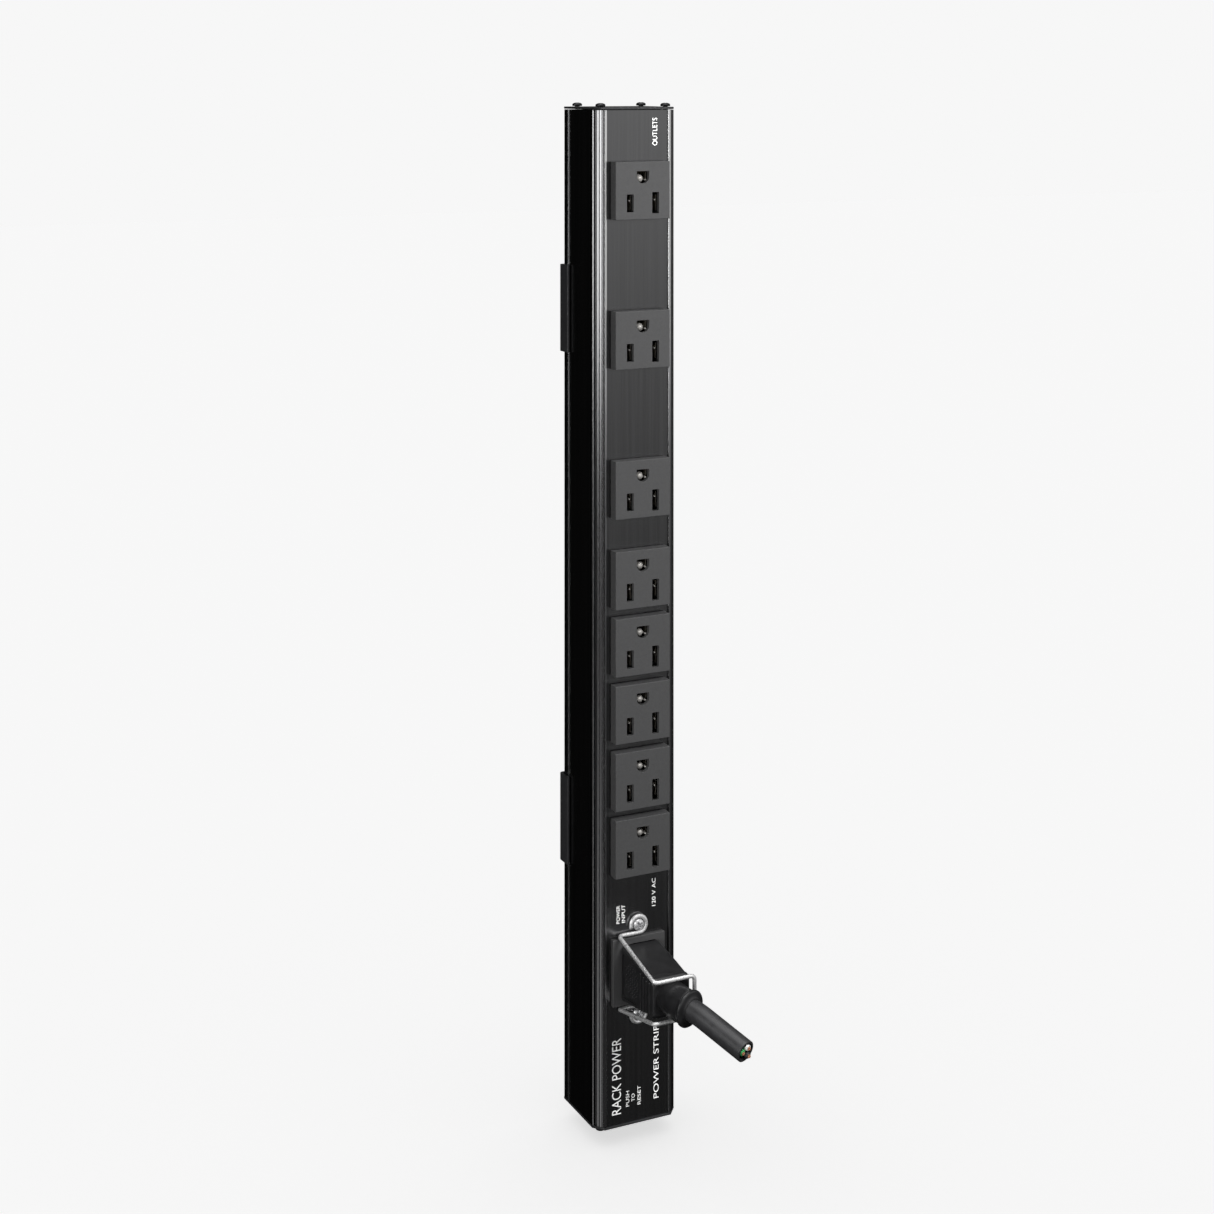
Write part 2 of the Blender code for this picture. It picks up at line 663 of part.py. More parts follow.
def make_plug_body():
    """The plug: a nose inside the inlet, a tapered grip, and a bent strain relief round the cord."""
    bezel = Y_PANEL - BEZEL_PROUD
    nose_end = bezel + NOSE_DEPTH
    front, rear = bezel - GAP, Y_PANEL - PLUG_REAR
    half = PLUG_WIDTH / 2
    corner = 3.0
    grip = [
        (front, PLUG_HALF_FRONT), (rear + corner, PLUG_HALF_REAR + 0.4),
        (rear + 0.8, PLUG_HALF_REAR - 0.4), (rear, PLUG_HALF_REAR - 2.2),
    ]
    outline = grip + [(y, -z) for y, z in reversed(grip)]
    plug = add_part("plug_body", plate([[(y, INLET_Z + z) for y, z in outline]], -half, half, SIDEWAYS),
                    "cord_vinyl")
    bevel = plug.modifiers.new("Rounded edges", "BEVEL")
    bevel.width = 1.6 * MM
    bevel.segments = 2
    bevel.angle_limit = math.radians(50)
    join(plug, upright_plate([inlet_outline(*PLUG_NOSE)], front - 1, nose_end))
    join(plug, wire(cord_path(-4, BOSS_LENGTH, 3.0), BOSS_RADIUS))
    cut(plug, boxes(*around_pins(3.2, 2.2, front - 3, nose_end + 1)))
    cavity = [(front - 2, 9.3), (front - 8, 8.6), (rear + 8, CORD_RADIUS + 0.5)]
    cavity += [(y, -z) for y, z in reversed(cavity)]
    cut(plug, plate([[(y, INLET_Z + z) for y, z in cavity]], -5.4, 5.4, SIDEWAYS))
    cut(plug, wire(cord_path(-10, BOSS_LENGTH + 6, 3.0), CORD_RADIUS + GAP))


def make_plug_contacts():
    """Brass sleeves inside the plug's nose that grip the inlet's pins."""
    nose_end = Y_PANEL - BEZEL_PROUD + NOSE_DEPTH
    for name, (x, z) in PIN_PLACES.items():
        outer = rectangle(x - 2.9, INLET_Z + z - 1.9, x + 2.9, INLET_Z + z + 1.9)
        inner = rectangle(x - 2.3, INLET_Z + z - 1.3, x + 2.3, INLET_Z + z + 1.3)
        sleeve = upright_plate([outer, inner], nose_end - 1 - SLEEVE_LENGTH, nose_end - 1)
        add_part(f"plug_{name}_contact", sleeve, "brass")


def make_cord_jacket():
    """The cord's outer sheath: an open tube, cut square at its far end."""
    path = cord_path(-6, CORD_LENGTH)
    jacket = add_part("cord_jacket", wire(path, CORD_RADIUS), "cord_vinyl", smooth=True)
    beyond = [path[0] + Vector((0, 3, 0)), *path, path[-1] * 2 - path[-2]]
    cut(jacket, wire(beyond, CORD_RADIUS - CORD_WALL))


def make_cord_conductors():
    """The cord's three insulated conductors, from the plug's contacts to the cut end."""
    start = Y_PANEL - BEZEL_PROUD + NOSE_DEPTH - 1 - SLEEVE_LENGTH - GAP
    for number, (name, (x, z)) in enumerate(PIN_PLACES.items()):
        angle = math.radians({"line": 300, "neutral": 60, "ground": 180}[name])
        offset = Vector((math.cos(angle), 0, math.sin(angle))) * CONDUCTOR_OFFSET
        lead = [Vector((x, start, INLET_Z + z)), Vector((x, start - 2.5, INLET_Z + z))]
        along = [point + offset for point in cord_path(-12, CORD_LENGTH + 0.5, 4.0)]
        add_part(f"cord_{name}_conductor", wire(lead + along, CONDUCTOR_RADIUS), f"{name}_insulation",
                 smooth=True)


# ---------------------------------------------------------------- wire bail

def make_bail_eyes():
    """The bail's two fixed ends: an open ring round each inlet screw and the start of the run to the hinge."""
    for name, side in (("upper", 1), ("lower", -1)):
        middle = INLET_Z + side * INLET_SCREW_Z
        ring = arc(0, side * INLET_SCREW_Z, EYE_RADIUS, side * 195, side * -68, 14)
        run = [(-0.6, side * BAIL_CORNER[1]), (HINGE_X + EYE_END, side * BAIL_CORNER[1])]
        path = [(x, WIRE_Y, INLET_Z + z) for x, z in ring + run]
        add_part(f"bail_eye_{name}", wire(path, WIRE_RADIUS), "bright_steel", (0, WIRE_Y, middle), smooth=True)


def make_bail_bow():
    """The bail's moving part: from the hinge line out past the plug, round the cord and back."""
    corner_x, corner_z = BAIL_CORNER
    saddle_y = Y_PANEL - SADDLE_DEPTH
    upper = [
        (HINGE_X - BOW_START, WIRE_Y, corner_z), (corner_x, WIRE_Y, corner_z),
        (corner_x, saddle_y, SADDLE_Z), (SADDLE_X, saddle_y, SADDLE_Z),
    ]
    points = [(x, y, INLET_Z + z) for x, y, z in upper]
    points += [(x, y, INLET_Z - z) for x, y, z in reversed(upper)]
    path = rounded(points, 2.2)
    add_part("bail_bow", wire(path, WIRE_RADIUS), "bright_steel", (HINGE_X, WIRE_Y, INLET_Z), smooth=True)


# ---------------------------------------------------------------- circuit breaker

def breaker_y():
    return Y_FRONT + DEPTH / 2


def make_breaker():
    y = breaker_y()
    low = Z_BOTTOM + CAP_THICKNESS + GAP
    neck_end = Z_BOTTOM - NECK_PROUD
    top = low + BREAKER_LENGTH
    half_x, half_y = BREAKER_HALF_WIDTH, BREAKER_HALF_DEPTH
    body = add_part("breaker_body", boxes(((-half_x, y - half_y, low), (half_x, y + half_y, top))), "inner_plastic")
    join(body, cylinders(NECK_RADIUS, low + 2 - neck_end, Matrix.Identity(4), (0, y, (low + 2 + neck_end) / 2)))
    tabs = [((x - 2.4, y - 0.4, top - 2), (x + 2.4, y + 0.4, top + TAB_LENGTH)) for x in (-TAB_X, TAB_X)]
    join(body, boxes(*tabs))
    bore = BUTTON_RADIUS + GAP
    cut(body, cylinders(bore, 13, Matrix.Identity(4), (0, y, neck_end + 5.5)))
    nut_top = Z_BOTTOM - GAP
    loops = [circle(0, y, 7.4, 6), circle(0, y, NECK_RADIUS + GAP, 16)]
    add_part("breaker_nut", plate(loops, nut_top - 2.5, nut_top), "bright_steel")
    inner_end = neck_end + 8
    profile = [(0, inner_end), (BUTTON_RADIUS, inner_end), (BUTTON_RADIUS, neck_end - BUTTON_PROUD + 0.7),
               (BUTTON_RADIUS - 0.7, neck_end - BUTTON_PROUD), (0, neck_end - BUTTON_PROUD)]
    profile = [(radius, height - neck_end) for radius, height in profile]
    turned("breaker_button", profile, "button_plastic", (0, y, neck_end), Matrix.Identity(3))


# ---------------------------------------------------------------- inside wiring

def make_wires():
    """Insulated wires from the inlet to the breaker and the bars, each ending a gap away from its terminal."""
    y = breaker_y()
    tab_top = Z_BOTTOM + CAP_THICKNESS + GAP + BREAKER_LENGTH + TAB_LENGTH + GAP
    start = PIN_REAR + GAP
    weld_y = WEB_BACK + GAP + CONDUCTOR_RADIUS
    line_x, line_z = PIN_PLACES["line"]
    neutral_x, neutral_z = PIN_PLACES["neutral"]
    ground_x, ground_z = PIN_PLACES["ground"]
    routes = {
        "wire_inlet_to_breaker": ("line", [
            (line_x, start, INLET_Z + line_z), (line_x, start + 3.2, INLET_Z + line_z),
            (TAB_X, start + 1, INLET_Z - 20), (TAB_X, y, INLET_Z - 28), (TAB_X, y, tab_top)]),
        "wire_breaker_to_line_bar": ("line", [
            (-TAB_X, y, tab_top), (-TAB_X, y, tab_top + 5), (-10, start + 1, INLET_Z - 20),
            (-10, start + 1, INLET_Z + 16), (-BLADE_X, weld_y, INLET_Z + 34),
            (-BLADE_X, weld_y, INLET_Z + 44)]),
        "wire_inlet_to_neutral_bar": ("neutral", [
            (neutral_x, start, INLET_Z + neutral_z), (neutral_x, start + 3.2, INLET_Z + neutral_z),
            (BLADE_X, start + 2, INLET_Z + 20), (BLADE_X, weld_y, INLET_Z + 34),
            (BLADE_X, weld_y, INLET_Z + 44)]),
        "wire_inlet_to_ground_bar": ("ground", [
            (ground_x, start, INLET_Z + ground_z), (ground_x, start + 3.2, INLET_Z + ground_z),
            (-0.5, start + 3.2, INLET_Z + 20), (0, start, INLET_Z + 36), (0, weld_y, INLET_Z + 44),
            (0, weld_y, INLET_Z + 52)]),
    }
    for name, (kind, points) in routes.items():
        add_part(name, wire(rounded(points, 2.6, 2), CONDUCTOR_RADIUS), f"{kind}_insulation", smooth=True)


def make_ground_strap():
    """The strap that bonds the ground bar to the housing, under the inlet's upper nut."""
    thickness = 0.8
    front = Y_INSIDE + EAR_THICKNESS + 2 * GAP
    back = WEB_BACK + GAP
    screw_z = INLET_Z + INLET_SCREW_Z
    bend, top = screw_z + 6.5, screw_z + 18
    outline = [
        (front, screw_z - 4), (front + thickness, screw_z - 4), (front + thickness, bend),
        (back + thickness, bend), (back + thickness, top), (back, top),
        (back, bend + thickness), (front, bend + thickness),
    ]
    strap = add_part("ground_bond_strap", plate([outline], -2.9, 2.9, SIDEWAYS), "brass")
    cut(strap, cylinders(SCREW_CLEARANCE, 6, UPRIGHT, (0, front, screw_z), segments=12))


# ---------------------------------------------------------------- mounting clips

def clip_half():
    """Half of a clip's section at +X: base, arm and the bead that catches in the housing's groove."""
    inner = HALF_WIDTH + GAP
    outer = inner + 1.3
    tip = -CLIP_ARM - 1
    bead_y = Y_REAR - REAR_BAND - 0.9
    bead_x = HALF_WIDTH - GROOVE_DEPTH + 0.4
    return [
        *arc(outer - 1.6, -1.6, 1.6, 90, 0, 4),
        (outer, tip + 0.5), (outer - 0.4, tip), (inner + 0.2, tip),
        (inner, bead_y - 0.4), (bead_x, bead_y - 0.1), (bead_x, bead_y + 0.2), (inner, bead_y + 0.6),
        (inner, -CLIP_THICKNESS),
    ]


def make_clip(name, z):
    half = clip_half()
    section = half + [(-x, y) for x, y in reversed(half)]
    mesh = plate([section], z - CLIP_LENGTH / 2, z + CLIP_LENGTH / 2)
    clip = add_part(name, mesh, "black_sheet", (0, 0, z))
    holes = [(0, -CLIP_THICKNESS / 2, z + side * CLIP_HOLE_SPACING / 2) for side in (1, -1)]
    cut(clip, cylinders(CLIP_HOLE_RADIUS, 4, UPRIGHT, *holes))


clear_scene()
PARTS = new_collection("rack_power_strip")
CUTTERS = new_collection("cutters")
make_housing()
make_rear_cover()
make_end_cap("end_cap_upper", Z_TOP - CAP_THICKNESS)
make_end_cap("end_cap_lower", Z_BOTTOM, [circle(0, breaker_y(), NECK_RADIUS + GAP, 16)])
make_cap_screws()
make_outlets()
make_bars()
make_inlet_body()
make_inlet_pins()
make_inlet_screws()
make_plug_body()
make_plug_contacts()
make_cord_jacket()
make_cord_conductors()
make_bail_eyes()
make_bail_bow()
make_breaker()
make_wires()
make_ground_strap()
make_clip("mounting_clip_upper", 0)
make_clip("mounting_clip_lower", Z_TOP - LOWER_CLIP_BELOW_TOP)
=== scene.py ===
"""Looks of the rack power strip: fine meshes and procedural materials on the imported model, in a small studio.

Lengths are in millimetres until a mesh is made. +Z is up along the strip and its outlets face -Y. Places come
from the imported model's own nodes.
"""
import json
import math

import bmesh
import bpy
from mathutils import Matrix, Vector


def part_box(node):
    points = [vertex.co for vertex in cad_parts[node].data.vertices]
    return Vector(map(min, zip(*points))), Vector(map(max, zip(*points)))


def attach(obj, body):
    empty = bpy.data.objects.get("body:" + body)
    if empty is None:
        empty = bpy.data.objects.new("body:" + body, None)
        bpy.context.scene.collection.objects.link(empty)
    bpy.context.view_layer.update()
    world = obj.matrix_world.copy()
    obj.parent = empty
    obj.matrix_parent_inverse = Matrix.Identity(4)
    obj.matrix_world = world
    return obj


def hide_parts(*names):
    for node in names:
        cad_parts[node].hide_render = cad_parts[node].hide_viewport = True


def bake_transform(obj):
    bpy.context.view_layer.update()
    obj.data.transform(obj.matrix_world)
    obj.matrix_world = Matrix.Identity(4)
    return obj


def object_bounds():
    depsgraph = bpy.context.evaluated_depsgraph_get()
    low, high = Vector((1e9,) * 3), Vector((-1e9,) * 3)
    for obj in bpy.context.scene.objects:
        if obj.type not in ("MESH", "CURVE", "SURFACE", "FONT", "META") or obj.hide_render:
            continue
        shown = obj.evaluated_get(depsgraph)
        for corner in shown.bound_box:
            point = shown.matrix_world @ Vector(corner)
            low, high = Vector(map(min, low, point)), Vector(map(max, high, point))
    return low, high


MM = 0.001
OUTLETS = range(1, 9)
ENDS = (("upper", 1), ("lower", -1))

# Housing section
PANEL_RECESS = 0.8
LIP_WIDTH = 1.2
BEVEL_WIDTH = 4.0
BEVEL_DEPTH = 4.8
WALL = 1.5
PANEL_WALL = 1.6
LIP_PAINTED_HIGHLIGHT = (1.6, 7.5)  # painted highlight: colour of a lip's front face against the rest, low down and at the top
LIP_HIGHLIGHT_HEIGHTS = (-100, 70)  # heights between which the painted highlight on the lips grows brighter
GROOVE_SHADE = 0.3  # painted shade in the flutes' grooves: their colour against the rest
GROOVE_REACH = 1.2  # how deep under the fluted corner's flat the painted groove shade reaches
CLIP_GROOVE = (28.6, 30.4, 0.8)  # start and end behind the front, depth
COVER_SLOT = (16.0, 18.4, 1.4, 3.0)  # mouth and full half width, start and end in front of the rear
# The fluted corner, from the lip to the side: share of the way, sink below the flat, corner radius
FLUTES = (
    (0.025, 0.5, 0.1), (0.085, 0.5, 0.1), (0.11, 0.05, 0.3), (0.2, 0.05, 0.3), (0.215, 0.35, 0.05),
    (0.23, 0, 0.4), (0.42, 0, 0.4), (0.435, 0.35, 0.05), (0.45, 0, 0.45), (0.65, 0, 0.4),
    (0.67, 1.0, 0.12), (0.83, 1.0, 0.12), (0.85, 0, 0.3),
)

# Outlets
OUTLET_REBATE = (1.1, 1.2)  # how far an outlet overlaps its opening, across and up
RIM_DEPTH = 5.5  # of the wide front of an outlet, behind its face
NECK_INSET = (1.4, 1.5)  # of the narrower body behind it, across and up
FACE_THICKNESS = 2.0
BLADE_X = 6.35
BLADE_Z = -5.6
BLADE_SLOT = 3.4
BLADE_HEIGHTS = (8.0, 9.6)  # left slot, right slot
GROUND_Z = 6.3
GROUND_RADIUS = 3.1
GROUND_FLAT = 2.4  # from the arc's centre up to the flat
CHAMBER_HALF_WIDTH = 2.4  # of the hollow behind a blade slot
CHAMBER_HEIGHTS = (-11.3, 0.3)
GROUND_CHAMBER = 3.6  # half the width and height of the one behind the ground hole

# Inlet, plug and cord
BEZEL_HALF_HEIGHT = 15.0
INLET_GAP = 0.3  # round the bezel, in the panel
INLET_OUTLINE = ((8.4, -12.2), (8.4, 12.2), (-4.8, 12.2), (-8.4, 8.6), (-8.4, -8.6), (-4.8, -12.2))
INLET_DEPTH = 16.5
NOSE_DEPTH = 15.0
NOSE_CLEARANCE = 0.5  # round the plug's nose, in the inlet
GRIP_HALF_WIDTH = 9.4
# The grip from its front to its rear: share of the length, half width, half height, corner radius
PLUG_PROFILE = (
    (0.0, 8.5, 11.7, 1.2), (0.012, 9.1, 12.1, 1.4), (0.03, GRIP_HALF_WIDTH, 12.2, 1.4),
    (0.3, GRIP_HALF_WIDTH, 10.95, 1.4), (0.6, GRIP_HALF_WIDTH, 9.55, 1.4), (0.8, GRIP_HALF_WIDTH, 8.4, 1.5),
    (0.86, GRIP_HALF_WIDTH, 8.15, 1.6), (0.89, GRIP_HALF_WIDTH, 8.5, 1.8), (0.92, 9.35, 8.75, 2.1),
    (0.95, 9.2, 8.65, 2.6), (0.975, 8.9, 8.1, 2.9), (0.99, 8.5, 7.5, 3.0), (1.0, 7.8, 6.8, 3.0),
)
PANEL_SINK = 0.55  # of the stippled panel in each side of the grip
RIB_SHARES = (0.635, 0.725, 0.815, 0.905)
RIB_RADIUS = 0.6
CORD_RADIUS = 4.75
BOSS_RADIUS = 7.4
BOSS_LENGTH = 14.0
FLANGE = (8.1, 2.0)  # radius, length
CORD_LENGTH = 46.0
CORD_WALL = 1.0
CORD_SWING = (20, 3, 9)  # degrees to +X, where on the cord the bend starts, its length
CORD_DROOP = (16, 8, 14)  # degrees down, and the same
CONDUCTOR_OFFSET = 1.85
STRAND_RINGS = ((0, 1), (0.52, 6))  # distance from the conductor's middle, strands at it
STRAND_RADIUS = 0.25

# Bail: the middle line of its wire, with heights measured from the inlet's middle
BAIL_EYE_RADIUS = 3.8
BAIL_EYE_HEIGHT = 20.0
BAIL_CORNER_HEIGHT = 16.4
BAIL_SADDLE_HEIGHT = 8.9

# Screws: radius and height of the head, width of its cross recess
CAP_SCREW = (2.25, 1.6, 2.5)
INLET_SCREW = (2.6, 2.4, 3.7)

# Circuit breaker
BREAKER_NECK = 4.9
THREAD_PITCH = 0.7
BUTTON_RADIUS = 3.3

# Rear cover
COVER_GROOVES = (-9, 0, 9)  # x
COVER_GROOVE_HALF_WIDTH = 1.2
COVER_GROOVE_DEPTH = 0.5
COVER_MARGIN = 16  # beyond a groove's ends

# Lettering
INK_HEIGHT = 0.12
THINNED = -0.004  # strokes drawn in, as a share of the letters' height
# Word, x and height of its middle, length and width of its line
HOUSING_WORDS = (("OUTLETS", 8.9, -9.8, 12.5, 2.4),)
INLET_WORDS = (
    ("POWER", -9.6, 25.5, 8.0, 1.7),
    ("INPUT", -7.0, 25.5, 8.0, 1.7),
    ("120 V AC", 8.3, 32.7, 12.5, 1.8),
    ("RACK POWER", -10.4, -47.0, 34.0, 4.5),
    ("POWER STRIP", 9.5, -44.2, 33.0, 2.6),
    ("PUSH", -4.9, -58.0, 7.0, 1.6),
    ("TO", -2.1, -58.0, 3.4, 1.6),
    ("RESET", 0.9, -57.5, 8.4, 1.6),
)

# Studio
CAMERA_PLACE = (-0.4217, -0.874, 0.1057)
CAMERA_TURN = -25.88
FOCAL_LENGTH = 61.74
VERTICAL_SHIFT = -0.4357
FLOOR_REACH = 6000
FLOOR_THICKNESS = 10
FLOOR_GLOW = 0.66
BACKDROP = 0.93
OVERHEAD = 0.5
HORIZON = 0.04
# Reflected daylight: direction, strength, cosines of the angle to it where it starts and is full, and by what
# it is divided straight down
REFLECTIONS = (
    ((0.45, -0.89, 0), 0.72, -0.1, 0.95, 1500),
    ((0.5, 0.87, 0), 0.08, 0.75, 1.0, 20),
    ((-0.97, -0.27, 0), 0.02, 0.5, 0.9, 1),
    ((-0.84, -0.23, -0.5), 0.8, 0.97, 1.0, 1),
)
# Area lights: name, place, aim, size, watts, the kind of ray that they stay out of
LIGHTS = (
    ("front_softbox", (0.24, -0.54, 0.28), (0, 0, 0.1), (0.35, 0.35), 10.2, "glossy"),
    ("left_softbox", (-0.7, -0.5, -0.15), (0, 0, -0.3), (0.3, 0.3), 6.5, "glossy"),
    ("left_gleam", (-1.15, -0.33, 0.12), (0, 0, 0.1), (0.4, 0.6), 4.2, "diffuse"),
    ("near_edge_strip", (-0.8, -0.85, -0.1), (0, 0, -0.1), (0.06, 1.2), 1.0, "diffuse"),
    ("far_edge_strip", (-1.1, 0.35, -0.1), (0, 0, -0.1), (0.06, 1.0), 0.12, "diffuse"),
    ("back_softbox", (0.5, 0.8, 0.4), (0, 0, -0.1), (0.5, 0.5), 5, "glossy"),
)

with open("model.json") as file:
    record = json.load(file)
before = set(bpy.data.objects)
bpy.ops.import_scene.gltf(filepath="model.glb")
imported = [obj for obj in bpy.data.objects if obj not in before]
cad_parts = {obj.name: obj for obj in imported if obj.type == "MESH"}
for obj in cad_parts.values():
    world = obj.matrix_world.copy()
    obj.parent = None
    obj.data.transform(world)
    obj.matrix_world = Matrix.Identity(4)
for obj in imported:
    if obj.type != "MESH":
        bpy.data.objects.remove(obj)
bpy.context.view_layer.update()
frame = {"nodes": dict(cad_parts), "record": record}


def box_mm(node):
    """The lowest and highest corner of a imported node, in millimetres."""
    low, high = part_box(node)
    return low / MM, high / MM


HOUSING_LOW, HOUSING_HIGH = box_mm("housing")
HALF_WIDTH = HOUSING_HIGH.x
Y_FRONT = HOUSING_LOW.y
Y_REAR = HOUSING_HIGH.y
Y_PANEL = Y_FRONT + PANEL_RECESS
INLET_LOW, INLET_HIGH = box_mm("inlet_body")
INLET_Z = (INLET_LOW.z + INLET_HIGH.z) / 2
Y_BEZEL = INLET_LOW.y
PLUG_REAR = Y_PANEL - 33.5

UPRIGHT = Matrix.Rotation(math.radians(90), 4, "X")
SIDEWAYS = Matrix(((0, 0, 1, 0), (1, 0, 0, 0), (0, 1, 0, 0), (0, 0, 0, 1)))


# ---- shader nodes

class Tree:
    """A node tree, with short ways to add and join nodes."""

    def __init__(self, tree):
        self.tree = tree

    def add(self, kind, **inputs):
        node = self.tree.nodes.new(kind)
        for name, value in inputs.items():
            self.join(value, node.inputs[name.replace("_", " ")])
        return node

    def join(self, value, socket):
        """Links an output to the socket, or sets the socket's value."""
        if isinstance(value, bpy.types.NodeSocket):
            self.tree.links.new(value, socket)
        else:
            socket.default_value = value

    def map_range(self, value, low, high, start=0.3, end=0.7):
        node = self.add(
            "ShaderNodeMapRange", Value=value, From_Min=start, From_Max=end, To_Min=low, To_Max=high)
        node.interpolation_type = "SMOOTHSTEP"
        return node.outputs["Result"]

    def sum(self, operation, first, second):
        """A sum of two values, such as ADD or MULTIPLY."""
        node = self.add("ShaderNodeMath")
        node.operation = operation
        self.join(first, node.inputs[0])
        self.join(second, node.inputs[1])
        return node.outputs["Value"]

    def parts(self, vector):
        """The X, Y and Z of a vector."""
        return self.add("ShaderNodeSeparateXYZ", Vector=vector).outputs


class Shader(Tree):
    """A material whose surface is one Principled node."""

    def __init__(self, name, colour, roughness, metallic=0.0, specular=0.5):
        self.material = bpy.data.materials.new(name)
        self.material.use_nodes = True
        super().__init__(self.material.node_tree)
        self.surface = self.tree.nodes["Principled BSDF"]
        self.set("Base Color", (*colour, 1.0))
        self.set("Roughness", roughness)
        self.set("Metallic", metallic)
        self.set("Specular IOR Level", specular)
        self.colour = colour
        self.place = self.add("ShaderNodeTexCoord").outputs["Object"]

    def set(self, name, value):
        self.join(value, self.surface.inputs[name])

    def noise(self, scale, detail=2.0, stretch=(1, 1, 1)):
        """Noise from 0 to 1 over the object's own space. scale is in features a metre before the stretch."""
        mapping = self.add("ShaderNodeMapping", Vector=self.place, Scale=stretch)
        return self.add(
            "ShaderNodeTexNoise", Vector=mapping.outputs["Vector"], Scale=scale, Detail=detail).outputs["Fac"]

    def shade(self, value, darkest, lightest, more=1.0):
        """The base colour, made darker and lighter by a value, and then multiplied by more."""
        factor = self.sum("MULTIPLY", self.map_range(value, darkest, lightest), more)
        mix = self.add("ShaderNodeVectorMath")
        mix.operation = "SCALE"
        self.join(self.colour, mix.inputs[0])
        self.join(factor, mix.inputs["Scale"])
        self.set("Base Color", mix.outputs["Vector"])

    def bump(self, height, strength, distance):
        """Relief from a height value. distance is the height's full reach in millimetres."""
        node = self.add("ShaderNodeBump", Height=height, Strength=strength, Distance=distance * MM)
        self.set("Normal", node.outputs["Normal"])


def depth_below_bevel(shader):
    """How far the shaded point lies under the flat of the fluted corner, in metres."""
    outward = Vector((BEVEL_DEPTH, -BEVEL_WIDTH)).normalized()
    flat = (HALF_WIDTH - BEVEL_WIDTH) * outward.x + Y_FRONT * outward.y
    place = shader.parts(shader.place)
    across = shader.sum("MULTIPLY", shader.sum("ABSOLUTE", place["X"], 0.0), outward.x)
    reach = shader.sum("ADD", across, shader.sum("MULTIPLY", place["Y"], outward.y))
    return shader.sum("SUBTRACT", flat * MM, reach)


def anodised_aluminium():
    """Black anodised extrusion with fine lines along the strip. The lips' front faces carry a painted
    highlight, strongest towards the top, and the flutes' grooves carry painted shade."""
    shader = Shader("black_anodised", (0.2, 0.2, 0.203), 0.23, 1.0)
    fine = shader.noise(1.0, 3.0, (5200, 5200, 22))
    wide = shader.noise(1.0, 2.0, (700, 700, 3))
    lines = shader.add("ShaderNodeMix", Factor=0.35, A=fine, B=wide).outputs["Result"]
    # painted highlight: the lips' front faces are made lighter, most of all towards the top
    front = shader.sum("LESS_THAN", shader.parts(shader.place)["Y"], (Y_FRONT + 0.12) * MM)
    lip_painted_highlight = shader.map_range(shader.parts(shader.place)["Z"], *LIP_PAINTED_HIGHLIGHT, *(z * MM for z in LIP_HIGHLIGHT_HEIGHTS))
    # painted shade: the flutes' grooves are made darker where they sink under the corner's flat
    depth = depth_below_bevel(shader)
    groove = shader.map_range(depth, 1.0, GROOVE_SHADE, 0.08 * MM, 0.3 * MM)
    in_corner = shader.sum("LESS_THAN", depth, GROOVE_REACH * MM)
    painted_groove_shade = shader.add("ShaderNodeMix", Factor=in_corner, A=1.0, B=groove).outputs["Result"]
    painted_light_and_shade = shader.add("ShaderNodeMix", Factor=front, A=painted_groove_shade, B=lip_painted_highlight).outputs["Result"]
    shader.shade(lines, 0.9, 1.1, painted_light_and_shade)
    shader.set("Roughness", shader.map_range(lines, 0.2, 0.27))
    shader.bump(fine, 0.06, 0.01)
    return shader.material


def coated_sheet():
    """Satin black coating on sheet steel, with a faint orange peel."""
    shader = Shader("black_sheet", (0.018, 0.018, 0.019), 0.42)
    peel = shader.noise(1600, 2.0)
    shader.shade(peel, 0.8, 1.2)
    shader.set("Roughness", shader.map_range(shader.noise(300), 0.36, 0.48))
    shader.bump(peel, 0.3, 0.03)
    return shader.material


def moulded_plastic(name, colour, roughness, grain):
    """Moulded plastic with a fine spark-eroded grain. grain is in features a metre."""
    shader = Shader(name, colour, roughness, specular=0.38)
    speckle = shader.noise(grain, 3.0)
    shader.shade(speckle, 0.88, 1.12)
    shader.set("Roughness", shader.map_range(shader.noise(grain / 3), roughness - 0.06, roughness + 0.06))
    shader.bump(speckle, 0.35, 0.03)
    return shader.material


def vinyl(name, colour, roughness, specular=0.5):
    """Soft moulded vinyl: satin, with a light haze."""
    shader = Shader(name, colour, roughness, specular=specular)
    haze = shader.noise(220, 4.0)
    shader.shade(haze, 0.8, 1.2)
    shader.set("Roughness", shader.map_range(haze, roughness - 0.02, roughness + 0.03))
    shader.bump(shader.noise(2600, 2.0), 0.25, 0.03)
    return shader.material


def bare_metal(name, colour, roughness, stretch, scale, metallic=1.0):
    """Bare metal with drawing or rolling marks. stretch says which way the marks run."""
    shader = Shader(name, colour, roughness, metallic)
    marks = shader.noise(scale, 3.0, stretch)
    shader.shade(marks, 0.86, 1.08)
    shader.set("Roughness", shader.map_range(marks, roughness * 0.7, roughness * 1.35))
    shader.bump(marks, 0.2, 0.02)
    return shader.material


def printed_ink():
    """White printing, slightly uneven. Its faint glow is painted light, which keeps it bright in the plug's
    shadow.
    """
    shader = Shader("printed_ink", (0.78, 0.78, 0.77), 0.55)
    # painted light: the ink glows faintly, though it is no lamp
    shader.set("Emission Color", (1, 1, 1, 1))
    shader.set("Emission Strength", 0.12)
    shader.shade(shader.noise(2400, 2.0), 0.8, 1.05)
    return shader.material


def insulation(name, colour):
    shader = Shader(name, colour, 0.42)
    shader.shade(shader.noise(500, 2.0), 0.9, 1.1)
    shader.bump(shader.noise(1500, 2.0), 0.15, 0.03)
    return shader.material


